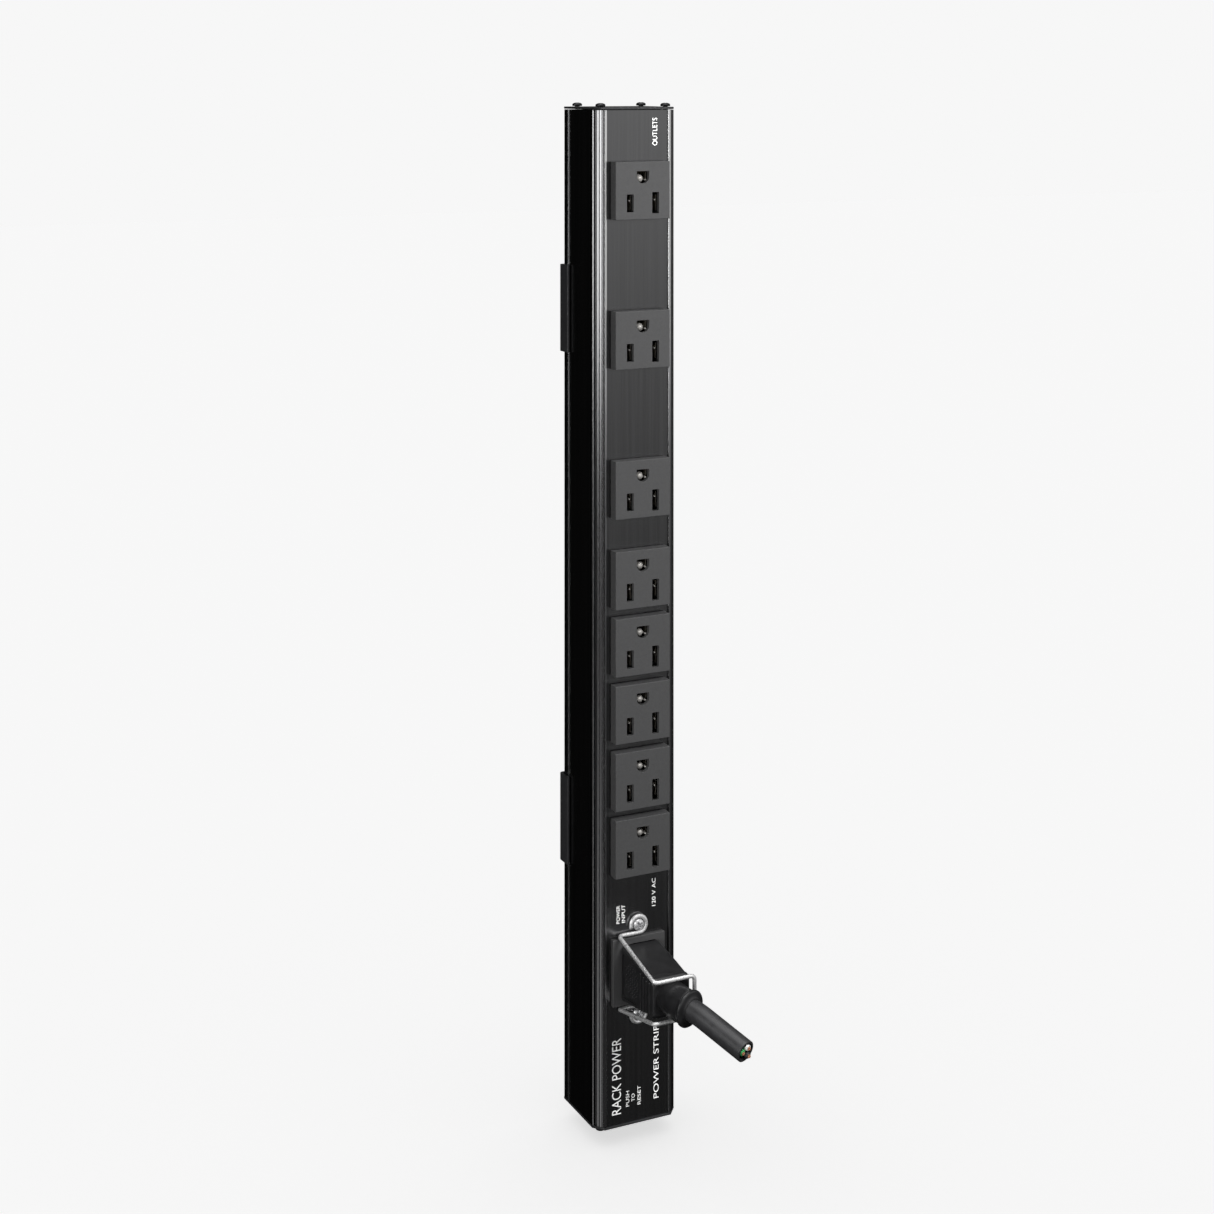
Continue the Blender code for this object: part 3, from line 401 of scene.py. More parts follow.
MATERIALS = {
    "black_anodised": anodised_aluminium(),
    "black_sheet": coated_sheet(),
    "outlet_plastic": moulded_plastic("outlet_plastic", (0.04, 0.04, 0.0405), 0.5, 2600),
    "inner_plastic": moulded_plastic("inner_plastic", (0.16, 0.16, 0.17), 0.6, 1800),
    "button_plastic": moulded_plastic("button_plastic", (0.02, 0.02, 0.02), 0.36, 2200),
    "cord_vinyl": vinyl("cord_vinyl", (0.019, 0.019, 0.02), 0.44),
    "plug_vinyl": vinyl("plug_vinyl", (0.011, 0.011, 0.0115), 0.3, 0.4),
    "brass": bare_metal("brass", (0.58, 0.54, 0.46), 0.3, (1, 1, 0.02), 3000),
    "contact_metal": bare_metal("contact_metal", (0.6, 0.58, 0.55), 0.26, (1, 1, 1), 3000, 0.75),
    "wire_steel": bare_metal("wire_steel", (0.85, 0.85, 0.85), 0.34, (1, 1, 1), 1500, 0.8),
    "bright_steel": bare_metal("bright_steel", (0.74, 0.74, 0.75), 0.2, (1, 1, 1), 1500, 0.8),
    "black_screw": bare_metal("black_screw", (0.05, 0.05, 0.052), 0.34, (1, 1, 1), 2500),
    "copper": bare_metal("copper", (0.8, 0.42, 0.26), 0.3, (1, 1, 1), 3000),
    "printed_ink": printed_ink(),
    "line_insulation": insulation("line_insulation", (0.03, 0.03, 0.03)),
    "neutral_insulation": insulation("neutral_insulation", (0.75, 0.75, 0.73)),
    "ground_insulation": insulation("ground_insulation", (0.05, 0.32, 0.1)),
}


# ---- mesh helpers

def rectangle(low_u, low_v, high_u, high_v):
    return [(low_u, low_v), (high_u, low_v), (high_u, high_v), (low_u, high_v)]


def arc(centre_u, centre_v, radius, start, end, steps):
    """Points on an arc, its two ends included. Angles are in degrees."""
    angles = [math.radians(start + (end - start) * i / steps) for i in range(steps + 1)]
    return [(centre_u + radius * math.cos(a), centre_v + radius * math.sin(a)) for a in angles]


def circle(centre_u, centre_v, radius, segments=32):
    return arc(centre_u, centre_v, radius, 0, 360, segments)[:-1]


def curve_at(before, corner, after, radius, steps):
    """A short curve in place of a corner. It never uses more than half of either side."""
    before, corner, after = Vector(before), Vector(corner), Vector(after)
    reach = min(radius, (before - corner).length / 2.05, (after - corner).length / 2.05)
    start = corner + (before - corner).normalized() * reach
    end = corner + (after - corner).normalized() * reach
    return [
        start * (1 - t) ** 2 + corner * 2 * t * (1 - t) + end * t ** 2
        for t in (i / steps for i in range(steps + 1))]


def fillet(points, steps=4):
    """A closed outline of (u, v, radius) with its corners rounded."""
    outline = []
    count = len(points)
    for i, (u, v, radius) in enumerate(points):
        if radius:
            before, after = points[i - 1][:2], points[(i + 1) % count][:2]
            outline += [tuple(p) for p in curve_at(before, (u, v), after, radius, steps)]
        else:
            outline.append((u, v))
    return outline


def rounded_rectangle(half_u, half_v, radius, centre, steps):
    u, v = centre
    outline = []
    for sign_u, sign_v, start in ((1, 1, 0), (-1, 1, 90), (-1, -1, 180), (1, -1, 270)):
        middle = (u + sign_u * (half_u - radius), v + sign_v * (half_v - radius))
        outline += arc(*middle, radius, start, start + 90, steps)
    return outline


def rounded_path(points, radius, steps):
    """The open path through the points with each inner corner rounded."""
    path = [Vector(points[0])]
    for before, corner, after in zip(points, points[1:], points[2:]):
        path += curve_at(before, corner, after, radius, steps)
    path.append(Vector(points[-1]))
    return path


def to_mesh(shape):
    """A mesh in metres from a bmesh in millimetres, with its faces pointing out."""
    bmesh.ops.remove_doubles(shape, verts=shape.verts, dist=1e-4)
    bmesh.ops.recalc_face_normals(shape, faces=shape.faces)
    mesh = bpy.data.meshes.new("shape")
    shape.to_mesh(mesh)
    shape.free()
    mesh.transform(Matrix.Scale(MM, 4))
    return mesh


def prism(outline, low, high, stand=Matrix.Identity(4)):
    """A closed outline of (u, v) extruded along its own normal from low to high."""
    shape = bmesh.new()
    face = shape.faces.new([shape.verts.new((u, v, low)) for u, v in outline])
    top = bmesh.ops.extrude_face_region(shape, geom=[face])["geom"]
    lifted = [item for item in top if isinstance(item, bmesh.types.BMVert)]
    bmesh.ops.translate(shape, verts=lifted, vec=(0, 0, high - low))
    bmesh.ops.transform(shape, matrix=stand, verts=shape.verts)
    return to_mesh(shape)


def upright_prism(outline, front, back):
    """A prism that faces -Y, between two values of Y."""
    return prism(outline, -back, -front, UPRIGHT)


def block(low, high, bevel=0.0, steps=3):
    """A box with rounded edges."""
    low, high = Vector(low), Vector(high)
    shape = bmesh.new()
    matrix = Matrix.Translation((low + high) / 2) @ Matrix.Diagonal((*(high - low), 1))
    bmesh.ops.create_cube(shape, size=1, matrix=matrix)
    if bevel:
        bmesh.ops.bevel(
            shape, geom=shape.edges[:], offset=bevel, segments=steps, profile=0.5, affect="EDGES")
    return to_mesh(shape)


def loft(rings):
    """A closed skin over rings that have equal numbers of points."""
    shape = bmesh.new()
    layers = [[shape.verts.new(point) for point in ring] for ring in rings]
    count = len(layers[0])
    for lower, upper in zip(layers, layers[1:]):
        for i in range(count):
            j = (i + 1) % count
            shape.faces.new((lower[i], lower[j], upper[j], upper[i]))
    shape.faces.new(layers[0])
    shape.faces.new(layers[-1])
    return to_mesh(shape)


def turned(profile, segments=40):
    """A solid of revolution about Z from a profile of (radius, height). Its ends are closed flat."""
    return loft([[(u, v, height) for u, v in circle(0, 0, radius, segments)] for radius, height in profile])


def dome(radius):
    """Half a ball on its own flat, facing up from the origin."""
    steps = [math.radians(a) for a in range(0, 90, 15)]
    return turned([(radius * math.cos(a), radius * math.sin(a)) for a in steps], 24)


def sweep(path, radii, segments, end_direction=None):
    """A round rod along a path, with a radius for each point, kept free of twist. Where the path turns back
    on itself, as at an open end, every section keeps the end's direction."""
    rings = []
    side = None
    for i, point in enumerate(path):
        step = path[min(i + 1, len(path) - 1)] - path[max(i - 1, 0)]
        ahead = step.normalized()
        if end_direction and ahead.dot(end_direction) < 0.9 and i > len(path) / 2:
            ahead = end_direction
        side = (side or ahead.orthogonal()) - ahead * (side or ahead.orthogonal()).dot(ahead)
        side.normalize()
        across = ahead.cross(side)
        rings.append([point + radii[i] * (side * u + across * v) for u, v in circle(0, 0, 1, segments)])
    return loft(rings)


def joined(*meshes):
    """One mesh that holds all of these."""
    shape = bmesh.new()
    for mesh in meshes:
        shape.from_mesh(mesh)
        bpy.data.meshes.remove(mesh)
    mesh = bpy.data.meshes.new("joined")
    shape.to_mesh(mesh)
    shape.free()
    return mesh


def moved(mesh, x=0.0, y=0.0, z=0.0, turn=None):
    """The mesh, turned and then moved by millimetres."""
    if turn is not None:
        mesh.transform(turn)
    mesh.transform(Matrix.Translation(Vector((x, y, z)) * MM))
    return mesh


def combined(base, *steps):
    """The base mesh after Booleans. Each step is an operation and its operand's mesh."""
    obj = bpy.data.objects.new("base", base)
    bpy.context.scene.collection.objects.link(obj)
    operands = []
    for operation, operand in steps:
        tool = bpy.data.objects.new("operand", operand)
        bpy.context.scene.collection.objects.link(tool)
        modifier = obj.modifiers.new(operation, "BOOLEAN")
        modifier.operation = operation
        modifier.object = tool
        operands.append(tool)
    return evaluated(obj, *operands)


def evaluated(obj, *helpers):
    """The mesh of an object with its modifiers applied. The object and its helpers are removed."""
    bpy.context.view_layer.update()
    mesh = bpy.data.meshes.new_from_object(obj.evaluated_get(bpy.context.evaluated_depsgraph_get()))
    for item in (obj, *helpers):
        bpy.data.objects.remove(item, do_unlink=True)
    return mesh


def softened(mesh, width, steps=2, angle=50):
    """The mesh with its sharp edges rounded, and normals that keep its flats flat."""
    obj = bpy.data.objects.new("soft", mesh)
    bpy.context.scene.collection.objects.link(obj)
    add_edge_modifiers(obj, width, steps, angle)
    return evaluated(obj)


def add_edge_modifiers(obj, width, steps=2, angle=50):
    """Rounds the edges sharper than an angle in degrees, and shades the rest smooth. width may be 0."""
    if width:
        bevel = obj.modifiers.new("Edges", "BEVEL")
        bevel.width = width * MM
        bevel.segments = steps
        bevel.limit_method = "ANGLE"
        bevel.angle_limit = math.radians(angle)
        bevel.miter_outer = "MITER_ARC"
    obj.data.shade_smooth()
    obj.data.set_sharp_from_angle(angle=math.radians(48))
    normals = obj.modifiers.new("Normals", "WEIGHTED_NORMAL")
    normals.keep_sharp = True


def show(name, mesh, slot, body="strip", stands_for=(), material=None):
    """Adds a finished piece in its place, on its body, with its material."""
    mesh.name = name
    mesh.materials.clear()
    mesh.materials.append(MATERIALS[material or slot])
    obj = bpy.data.objects.new(name, mesh)
    bpy.context.scene.collection.objects.link(obj)
    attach(obj, body)
    if stands_for:
        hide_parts(*stands_for)


# ---- housing, caps and clips

def housing_half():
    """Half of the housing's section, at +X, as (x, depth behind the front, corner radius)."""
    depth = Y_REAR - Y_FRONT
    lip_out = HALF_WIDTH - BEVEL_WIDTH
    lip_in = lip_out - LIP_WIDTH
    run = Vector((BEVEL_WIDTH, BEVEL_DEPTH))
    inward = Vector((-BEVEL_DEPTH, BEVEL_WIDTH)).normalized()
    corner = []
    for along, sink, radius in FLUTES:
        x, y = Vector((lip_out, 0)) + run * along + inward * sink
        corner.append((x, y, radius))
    groove_start, groove_end, groove_depth = CLIP_GROOVE
    mouth, slot_half, slot_start, slot_end = COVER_SLOT
    inner = HALF_WIDTH - WALL
    return [
        (lip_in, PANEL_RECESS, 0.12), (lip_in, 0, 0.3), (lip_out, 0, 0.3), *corner,
        (HALF_WIDTH, BEVEL_DEPTH, 0.35),
        (HALF_WIDTH, groove_start, 0.2), (HALF_WIDTH - groove_depth, groove_start + 0.3, 0.1),
        (HALF_WIDTH - groove_depth, groove_end - 0.3, 0.1), (HALF_WIDTH, groove_end, 0.2),
        (HALF_WIDTH, depth, 0.8), (mouth, depth, 0.2), (mouth, depth - slot_start, 0.1),
        (slot_half, depth - slot_start, 0.1), (slot_half, depth - slot_end, 0.1),
        (mouth - 1.5, depth - slot_end, 0.1), (mouth - 1.5, depth - slot_end - 1.2, 0.1),
        (inner, depth - slot_end - 1.2, 0.3), (inner, PANEL_RECESS + PANEL_WALL + 3, 1.0),
        (mouth, PANEL_RECESS + PANEL_WALL, 0.5),
    ]


def housing_mesh():
    """The extrusion with the outlets' and the inlet's openings cut in its panel."""
    half = fillet_half(housing_half())
    outline = half + [(-x, y) for x, y in reversed(half)]
    section = [(x, Y_FRONT + y) for x, y in outline]
    shell = prism(section, HOUSING_LOW.z, HOUSING_HIGH.z)
    openings = []
    front, back = Y_PANEL - 1, Y_PANEL + 3
    across, up = OUTLET_REBATE
    for number in OUTLETS:
        low, high = box_mm(f"outlet_{number}_shell")
        openings.append(block((low.x + across, front, low.z + up), (high.x - across, back, high.z - up)))
    half = BEZEL_HALF_HEIGHT + INLET_GAP
    openings.append(block(
        (INLET_LOW.x - INLET_GAP, front, INLET_Z - half), (INLET_HIGH.x + INLET_GAP, back, INLET_Z + half)))
    return combined(shell, ("DIFFERENCE", joined(*openings)))


def fillet_half(points):
    """Rounds a half outline's corners. Its two ends lie on flats that cross the middle."""
    first, last = points[0], points[-1]
    closed = [(-first[0], first[1], 0), *points, (-last[0], last[1], 0)]
    outline = []
    for before, (u, v, radius), after in zip(closed, closed[1:], closed[2:]):
        outline += [tuple(p) for p in curve_at(before[:2], (u, v), after[:2], radius, 4)]
    return outline


def make_housing():
    mesh = softened(housing_mesh(), 0)
    show("housing_extrusion", mesh, "black_anodised", stands_for=["housing"])


def make_caps():
    """The thin plates screwed to the ends. The lower one has the breaker's hole."""
    neck = (box_mm("breaker_nut")[0] + box_mm("breaker_nut")[1]) / 2
    flat, shoulder = HALF_WIDTH - BEVEL_WIDTH, Y_FRONT + BEVEL_DEPTH
    half = [(flat, Y_FRONT), (HALF_WIDTH, shoulder), (HALF_WIDTH, Y_REAR)]
    outline = half + [(-x, y) for x, y in reversed(half)]
    for end, side in ENDS:
        low, high = box_mm(f"end_cap_{end}")
        plate = prism(outline, low.z, high.z)
        if side < 0:
            hole = prism(circle(neck.x, neck.y, BREAKER_NECK + 0.3, 40), low.z - 1, high.z + 1)
            plate = combined(plate, ("DIFFERENCE", hole))
        show(f"{end}_cap_plate", softened(plate, 0.2, 3), "black_sheet", stands_for=[f"end_cap_{end}"])


def cross_recess(size, depth):
    """The cutter for a cross-head recess, whose mouth is at the origin and which narrows downwards."""
    arms = []
    for turn in (0, 90):
        rings = []
        for height, share in ((0.4, 1.08), (0, 1.0), (-depth * 0.55, 0.62), (-depth, 0.2)):
            half_u, half_v = size / 2 * share, size * 0.14 * (0.5 + share / 2)
            rings.append([(u, v, height) for u, v in rectangle(-half_u, -half_v, half_u, half_v)])
        arms.append(moved(loft(rings), turn=Matrix.Rotation(math.radians(turn), 4, "Z")))
    return combined(arms[0], ("UNION", arms[1]))


def screw_head(radius, height, recess):
    """A pan head with a cross recess, its underside at the origin, and a short length of its shank."""
    crown = [(radius * math.cos(math.radians(a)), height * (0.42 + 0.58 * math.sin(math.radians(a))))
            for a in (0, 12, 24, 36, 48, 60, 72, 82)]
    shank = [(radius * 0.5, -1.5), (radius * 0.5, -0.05)]
    head = turned([*shank, (radius * 0.93, 0), (radius, height * 0.14), *crown])
    return softened(
        combined(head, ("DIFFERENCE", moved(cross_recess(recess, height * 0.95), z=height))), 0.06, 2, 60)


def make_cap_screws():
    head = screw_head(*CAP_SCREW)
    height = CAP_SCREW[1]
    for end, side in ENDS:
        for number in range(1, 5):
            node = f"{end}_cap_screw_{number}"
            low, high = box_mm(node)
            seat = high.z - height if side > 0 else low.z + height
            flip = Matrix.Identity(4) if side > 0 else Matrix.Rotation(math.pi, 4, "X")
            spin = Matrix.Rotation(math.radians(37 * number), 4, "Z")
            mesh = moved(head.copy(), (low.x + high.x) / 2, (low.y + high.y) / 2, seat, flip @ spin)
            show(f"{end}_cap_screw_head_{number}", mesh, "black_screw", stands_for=[node])


def make_clips():
    """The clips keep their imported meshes, with their edges rounded."""
    for end, _ in ENDS:
        node = frame["nodes"][f"mounting_clip_{end}"]
        weld = node.modifiers.new("Weld", "WELD")
        weld.merge_threshold = 0.01 * MM
        add_edge_modifiers(node, 0.2)


# ---- outlets

def ground_hole():
    """The ground hole's outline: round below, flat above."""
    radius = GROUND_RADIUS
    flat = GROUND_Z + GROUND_FLAT
    return arc(0, GROUND_Z, radius, 180, 360, 20) + [(radius, flat), (-radius, flat)]


def outlet_mesh(depth):
    """An outlet with its face's middle at the origin. depth is how far it reaches behind its face."""
    low, high = box_mm("outlet_1_shell")
    half_w, half_h = (high.x - low.x) / 2, (high.z - low.z) / 2
    across, up = NECK_INSET
    shell = block((-half_w, 0, -half_h), (half_w, RIM_DEPTH, half_h), 0.3, 4)
    neck = block((across - half_w, RIM_DEPTH - 0.5, up - half_h), (half_w - across, depth, half_h - up))
    steps = [("UNION", neck)]
    near, far, half = FACE_THICKNESS, depth + 1, GROUND_CHAMBER
    bottom, top = CHAMBER_HEIGHTS
    chambers = [
        block((x - CHAMBER_HALF_WIDTH, near, bottom), (x + CHAMBER_HALF_WIDTH, far, top))
        for x in (-BLADE_X, BLADE_X)]
    chambers.append(block((-half, near, GROUND_Z - half), (half, far, GROUND_Z + half)))
    slots = []
    for x, height in zip((-BLADE_X, BLADE_X), BLADE_HEIGHTS):
        half_x, half_z = BLADE_SLOT / 2, height / 2
        slots.append(upright_prism(
            rounded_rectangle(half_x, half_z, 0.25, (x, BLADE_Z), 3), -1, FACE_THICKNESS + 0.5))
    slots.append(upright_prism(ground_hole(), -1, FACE_THICKNESS + 0.5))
    steps += [("DIFFERENCE", cutter) for cutter in (*chambers, *slots)]
    return softened(combined(shell, *steps), 0.16, 2, 60)


def contact_mesh():
    """The round tips of the springs seen through the holes, with the face's middle at the origin."""
    # x, z, radius and depth behind the face's back
    tips = [(-0.3, GROUND_Z - 1.0, 1.9, 1.9), (2.2, GROUND_Z - 1.6, 0.45, 0.3)]
    for x, height in zip((-BLADE_X, BLADE_X), BLADE_HEIGHTS):
        tips.append((x + 0.5, BLADE_Z + height * 0.12, 0.4, 0.3))
    pieces = []
    for x, z, radius, depth in tips:
        near, far = FACE_THICKNESS + depth, FACE_THICKNESS + 7
        pieces.append(upright_prism(circle(x, z, radius), near, far))
        pieces.append(moved(dome(radius), x, near, z, UPRIGHT))
    return softened(joined(*pieces), 0)


def make_outlets():
    """One outlet with its contacts, copied to every place."""
    low, high = box_mm("outlet_1_shell")
    mesh = outlet_mesh(high.y - low.y)
    contacts = contact_mesh()
    for number in OUTLETS:
        node = f"outlet_{number}_shell"
        low, high = box_mm(node)
        piece = moved(mesh.copy(), 0, low.y, (low.z + high.z) / 2)
        show(f"outlet_{number}_face", piece, "outlet_plastic", stands_for=[node])
        springs = moved(contacts.copy(), 0, low.y, (low.z + high.z) / 2)
        show(f"outlet_{number}_contacts", springs, "brass", material="contact_metal")


# ---- inlet, plug and cord

def make_inlet():
    """The inlet's bezel and body, hollow where the plug's nose goes in."""
    half_x, half_z = (INLET_HIGH.x - INLET_LOW.x) / 2, BEZEL_HALF_HEIGHT
    back = INLET_HIGH.y
    bezel = block((-half_x, Y_BEZEL, INLET_Z - half_z), (half_x, Y_PANEL + 3, INLET_Z + half_z), 0.35, 3)
    tub = block((1 - half_x, Y_PANEL + 1, INLET_Z - 14), (half_x - 1, back, INLET_Z + 14))
    outline = [(u, INLET_Z + v) for u, v in fillet([(u, v, 0.8) for u, v in INLET_OUTLINE])]
    mesh = combined(
        bezel, ("UNION", tub), ("DIFFERENCE", upright_prism(outline, Y_BEZEL - 1, Y_BEZEL + INLET_DEPTH)))
    show("inlet_bezel", softened(mesh, 0.25, 3, 60), "outlet_plastic", stands_for=["inlet_body"])


def bend(travelled, degrees, start, length):
    """The angle that a bend of the cord has reached at a distance along it."""
    return math.radians(degrees) * min(max((travelled - start) / length, 0), 1)


def cord_point(distance):
    """A point on the cord's centre line, at a distance along it from the plug's rear face. The cord leaves
    straight, bends to +X inside the strain relief, then droops."""
    step = 0.5
    place = Vector((0, PLUG_REAR, INLET_Z))
    if distance <= 0:
        return place - Vector((0, distance, 0))
    travelled = 0.0
    while travelled < distance:
        swing = bend(travelled, *CORD_SWING)
        droop = bend(travelled, *CORD_DROOP)
        length = min(step, distance - travelled)
        place += length * Vector((
            math.sin(swing) * math.cos(droop), -math.cos(swing) * math.cos(droop), -math.sin(droop)))
        travelled += length
    return place


def plug_half_height(share):
    """Half the grip's height at a share of its length."""
    for before, after in zip(PLUG_PROFILE, PLUG_PROFILE[1:]):
        if share <= after[0]:
            part = (share - before[0]) / (after[0] - before[0])
            return before[2] + (after[2] - before[2]) * part
    return PLUG_PROFILE[-1][2]


def stipple(front, length, face, side):
    """The small domes of the pad, in staggered rows within an ellipse, on one side of the grip."""
    turn = Matrix.Rotation(side * math.pi / 2, 4, "Y")
    domes = []
    for row in range(-6, 7):
        for column in range(6):
            y = front + length * (0.13 + 0.07 * column) - 0.55 * (row % 2)
            z = row * 1.15
            if ((y - front - length * 0.31) / 7.2) ** 2 + (z / 7.4) ** 2 < 1:
                bead = turned([(0.42, -0.6), (0.42, 0.1), (0.3, 0.24), (0.12, 0.3)], 8)
                domes.append(moved(bead, face - side * PANEL_SINK, y, INLET_Z + z, turn))
    return domes


def grip_relief(front, rear):
    """What is added to and cut from the grip's two sides: a sunk panel with a stippled pad, and four ribs."""
    length = rear - front
    added, cut = [], []
    (start, wide), (end, narrow) = (front + length * 0.05, 9.9), (front + length * 0.57, 7.9)
    corners = (start, -wide), (start, wide), (end, narrow), (end, -narrow)
    outline = fillet([(y, z, 2.2) for y, z in corners], 6)
    for side in (-1, 1):
        face = side * GRIP_HALF_WIDTH
        low, high = sorted((face - side * PANEL_SINK, face + side))
        cut.append(moved(prism(outline, low, high, SIDEWAYS), z=INLET_Z))
        added += stipple(front, length, face, side)
        for share in RIB_SHARES:
            half = plug_half_height(share) - 1.5
            middle = Vector((face, front + length * share, INLET_Z))
            reach = Vector((RIB_RADIUS, RIB_RADIUS, half))
            added.append(block(middle - reach, middle + reach, 0.4, 3))
    return added, cut


def strain_relief():
    """The round boss about the cord, with its flange."""
    flange_radius, flange_length = FLANGE
    flange_start = BOSS_LENGTH - flange_length
    # distance along the cord's line, radius
    profile = [(-4, BOSS_RADIUS), (0, BOSS_RADIUS), (4, BOSS_RADIUS), (8, BOSS_RADIUS),
               (flange_start - 0.5, BOSS_RADIUS), (flange_start, BOSS_RADIUS + 0.2),
               (flange_start + 0.4, flange_radius - 0.3), (flange_start + 0.8, flange_radius),
               (BOSS_LENGTH - 0.6, flange_radius), (BOSS_LENGTH - 0.15, flange_radius - 0.3),
               (BOSS_LENGTH, flange_radius - 0.8), (BOSS_LENGTH + 0.1, CORD_RADIUS + 1.0),
               (BOSS_LENGTH + 0.6, CORD_RADIUS + 0.6), (BOSS_LENGTH + 0.9, CORD_RADIUS + 0.35)]
    return sweep([cord_point(d) for d, _ in profile], [r for _, r in profile], 40)


def make_plug():
    """The grip, the nose in the inlet and the strain relief, as one moulding."""
    front, rear = Y_BEZEL - 0.3, PLUG_REAR
    rings = []
    for share, half_x, half_z, radius in PLUG_PROFILE:
        y = front + (rear - front) * share
        rings.append([(u, y, INLET_Z + v) for u, v in rounded_rectangle(half_x, half_z, radius, (0, 0), 6)])
    corners = []
    for u, v in INLET_OUTLINE:
        corners.append((u - math.copysign(NOSE_CLEARANCE, u), v - math.copysign(NOSE_CLEARANCE, v), 1))
    nose = upright_prism([(u, INLET_Z + v) for u, v in fillet(corners)], front - 1, Y_BEZEL + NOSE_DEPTH)
    added, cut = grip_relief(front, rear)
    solid = combined(
        loft(rings), ("DIFFERENCE", joined(*cut)), ("UNION", nose), ("UNION", strain_relief()))
    mesh = joined(softened(solid, 0.2), softened(joined(*added), 0))
    show("plug_moulding", mesh, "cord_vinyl", stands_for=["plug_body"], material="plug_vinyl")


def make_cord():
    """The sheath, open at its cut end, and the strands that stand out of the three conductors there."""
    steps = 46
    inside = CORD_RADIUS - CORD_WALL
    outer = [(cord_point(2 + (CORD_LENGTH - 2.2) * i / steps), CORD_RADIUS) for i in range(steps + 1)]
    end = [(cord_point(CORD_LENGTH), radius) for radius in (CORD_RADIUS - 0.2, inside + 0.15)]
    inner = [(cord_point(CORD_LENGTH - depth), inside) for depth in (0.2, 3, 6)]
    path, radii = zip(*outer, *end, *inner)
    ahead = (cord_point(CORD_LENGTH) - cord_point(CORD_LENGTH - 1)).normalized()
    rod = sweep(path, radii, 40, ahead)
    show("cord_sheath", softened(rod, 0), "cord_vinyl", stands_for=["cord_jacket"])
    strands = []
    for degrees in (60, 180, 300):
        angle = math.radians(degrees)
        offset = Vector((math.cos(angle), 0, math.sin(angle))) * CONDUCTOR_OFFSET
        for radius, count in STRAND_RINGS:
            for i in range(count):
                turn = math.radians(i * 60)
                place = offset + Vector((math.cos(turn), 0, math.sin(turn))) * radius
                tips = [cord_point(CORD_LENGTH + reach) + place for reach in (-0.5, 0.9, 1.05)]
                strands.append(sweep(tips, [STRAND_RADIUS, STRAND_RADIUS, 0.16], 10))
    show("cord_strands", softened(joined(*strands), 0), "brass", material="copper")


# ---- bail and screws

def make_bail():
    """The wire, from its upper eye round the plug's boss to its lower eye."""
    low, high = box_mm("bail_bow")
    eye_low, eye_high = box_mm("bail_eye_upper")
    radius = (eye_high.y - eye_low.y) / 2
    wire_y = (eye_high.y + eye_low.y) / 2
    corner_x = low.x + radius
    saddle_y = low.y + radius
    saddle_x = high.x - radius
    corner_z, saddle_z = BAIL_CORNER_HEIGHT, BAIL_SADDLE_HEIGHT
    eye = arc(0, BAIL_EYE_HEIGHT, BAIL_EYE_RADIUS, 195, -68, 30)
    ring = [Vector((x, wire_y, z)) for x, z in eye]
    run = [Vector(p) for p in (
        (-0.6, wire_y, corner_z), (corner_x, wire_y, corner_z), (corner_x, saddle_y, saddle_z),
        (saddle_x, saddle_y, saddle_z), (saddle_x, saddle_y, -saddle_z), (corner_x, saddle_y, -saddle_z),
        (corner_x, wire_y, -corner_z), (-0.6, wire_y, -corner_z))]
    bow = rounded_path(run, 2.2, 8)
    dense = []
    for a, b in zip(bow, bow[1:]):
        count = max(1, round((b - a).length / 0.8))
        dense += [a.lerp(b, i / count) for i in range(count)]
    dense.append(bow[-1])
    other = [Vector((p.x, p.y, -p.z)) for p in reversed(ring)]
    path = [p + Vector((0, 0, INLET_Z)) for p in ring + dense + other]
    mesh = sweep(path, [radius] * len(path), 14)
    mesh.name = "bail_wire"
    mesh.shade_smooth()
    mesh.materials.append(MATERIALS["wire_steel"])
    obj = bpy.data.objects.new("bail_wire", mesh)
    bpy.context.scene.collection.objects.link(obj)
    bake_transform(obj)
    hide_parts("bail_eye_upper", "bail_eye_lower", "bail_bow")


def make_inlet_screws():
    head = screw_head(*INLET_SCREW)
    facing_front = Matrix.Rotation(math.radians(90), 4, "X")
    for end, side in ENDS:
        node = f"inlet_screw_{end}"
        low, high = box_mm(node)
        spin = Matrix.Rotation(math.radians(30 * side), 4, "Z")
        mesh = moved(head.copy(), 0, low.y + INLET_SCREW[1], (low.z + high.z) / 2, facing_front @ spin)
        show(f"inlet_screw_head_{end}", mesh, "bright_steel", stands_for=[node])


# ---- circuit breaker and rear cover

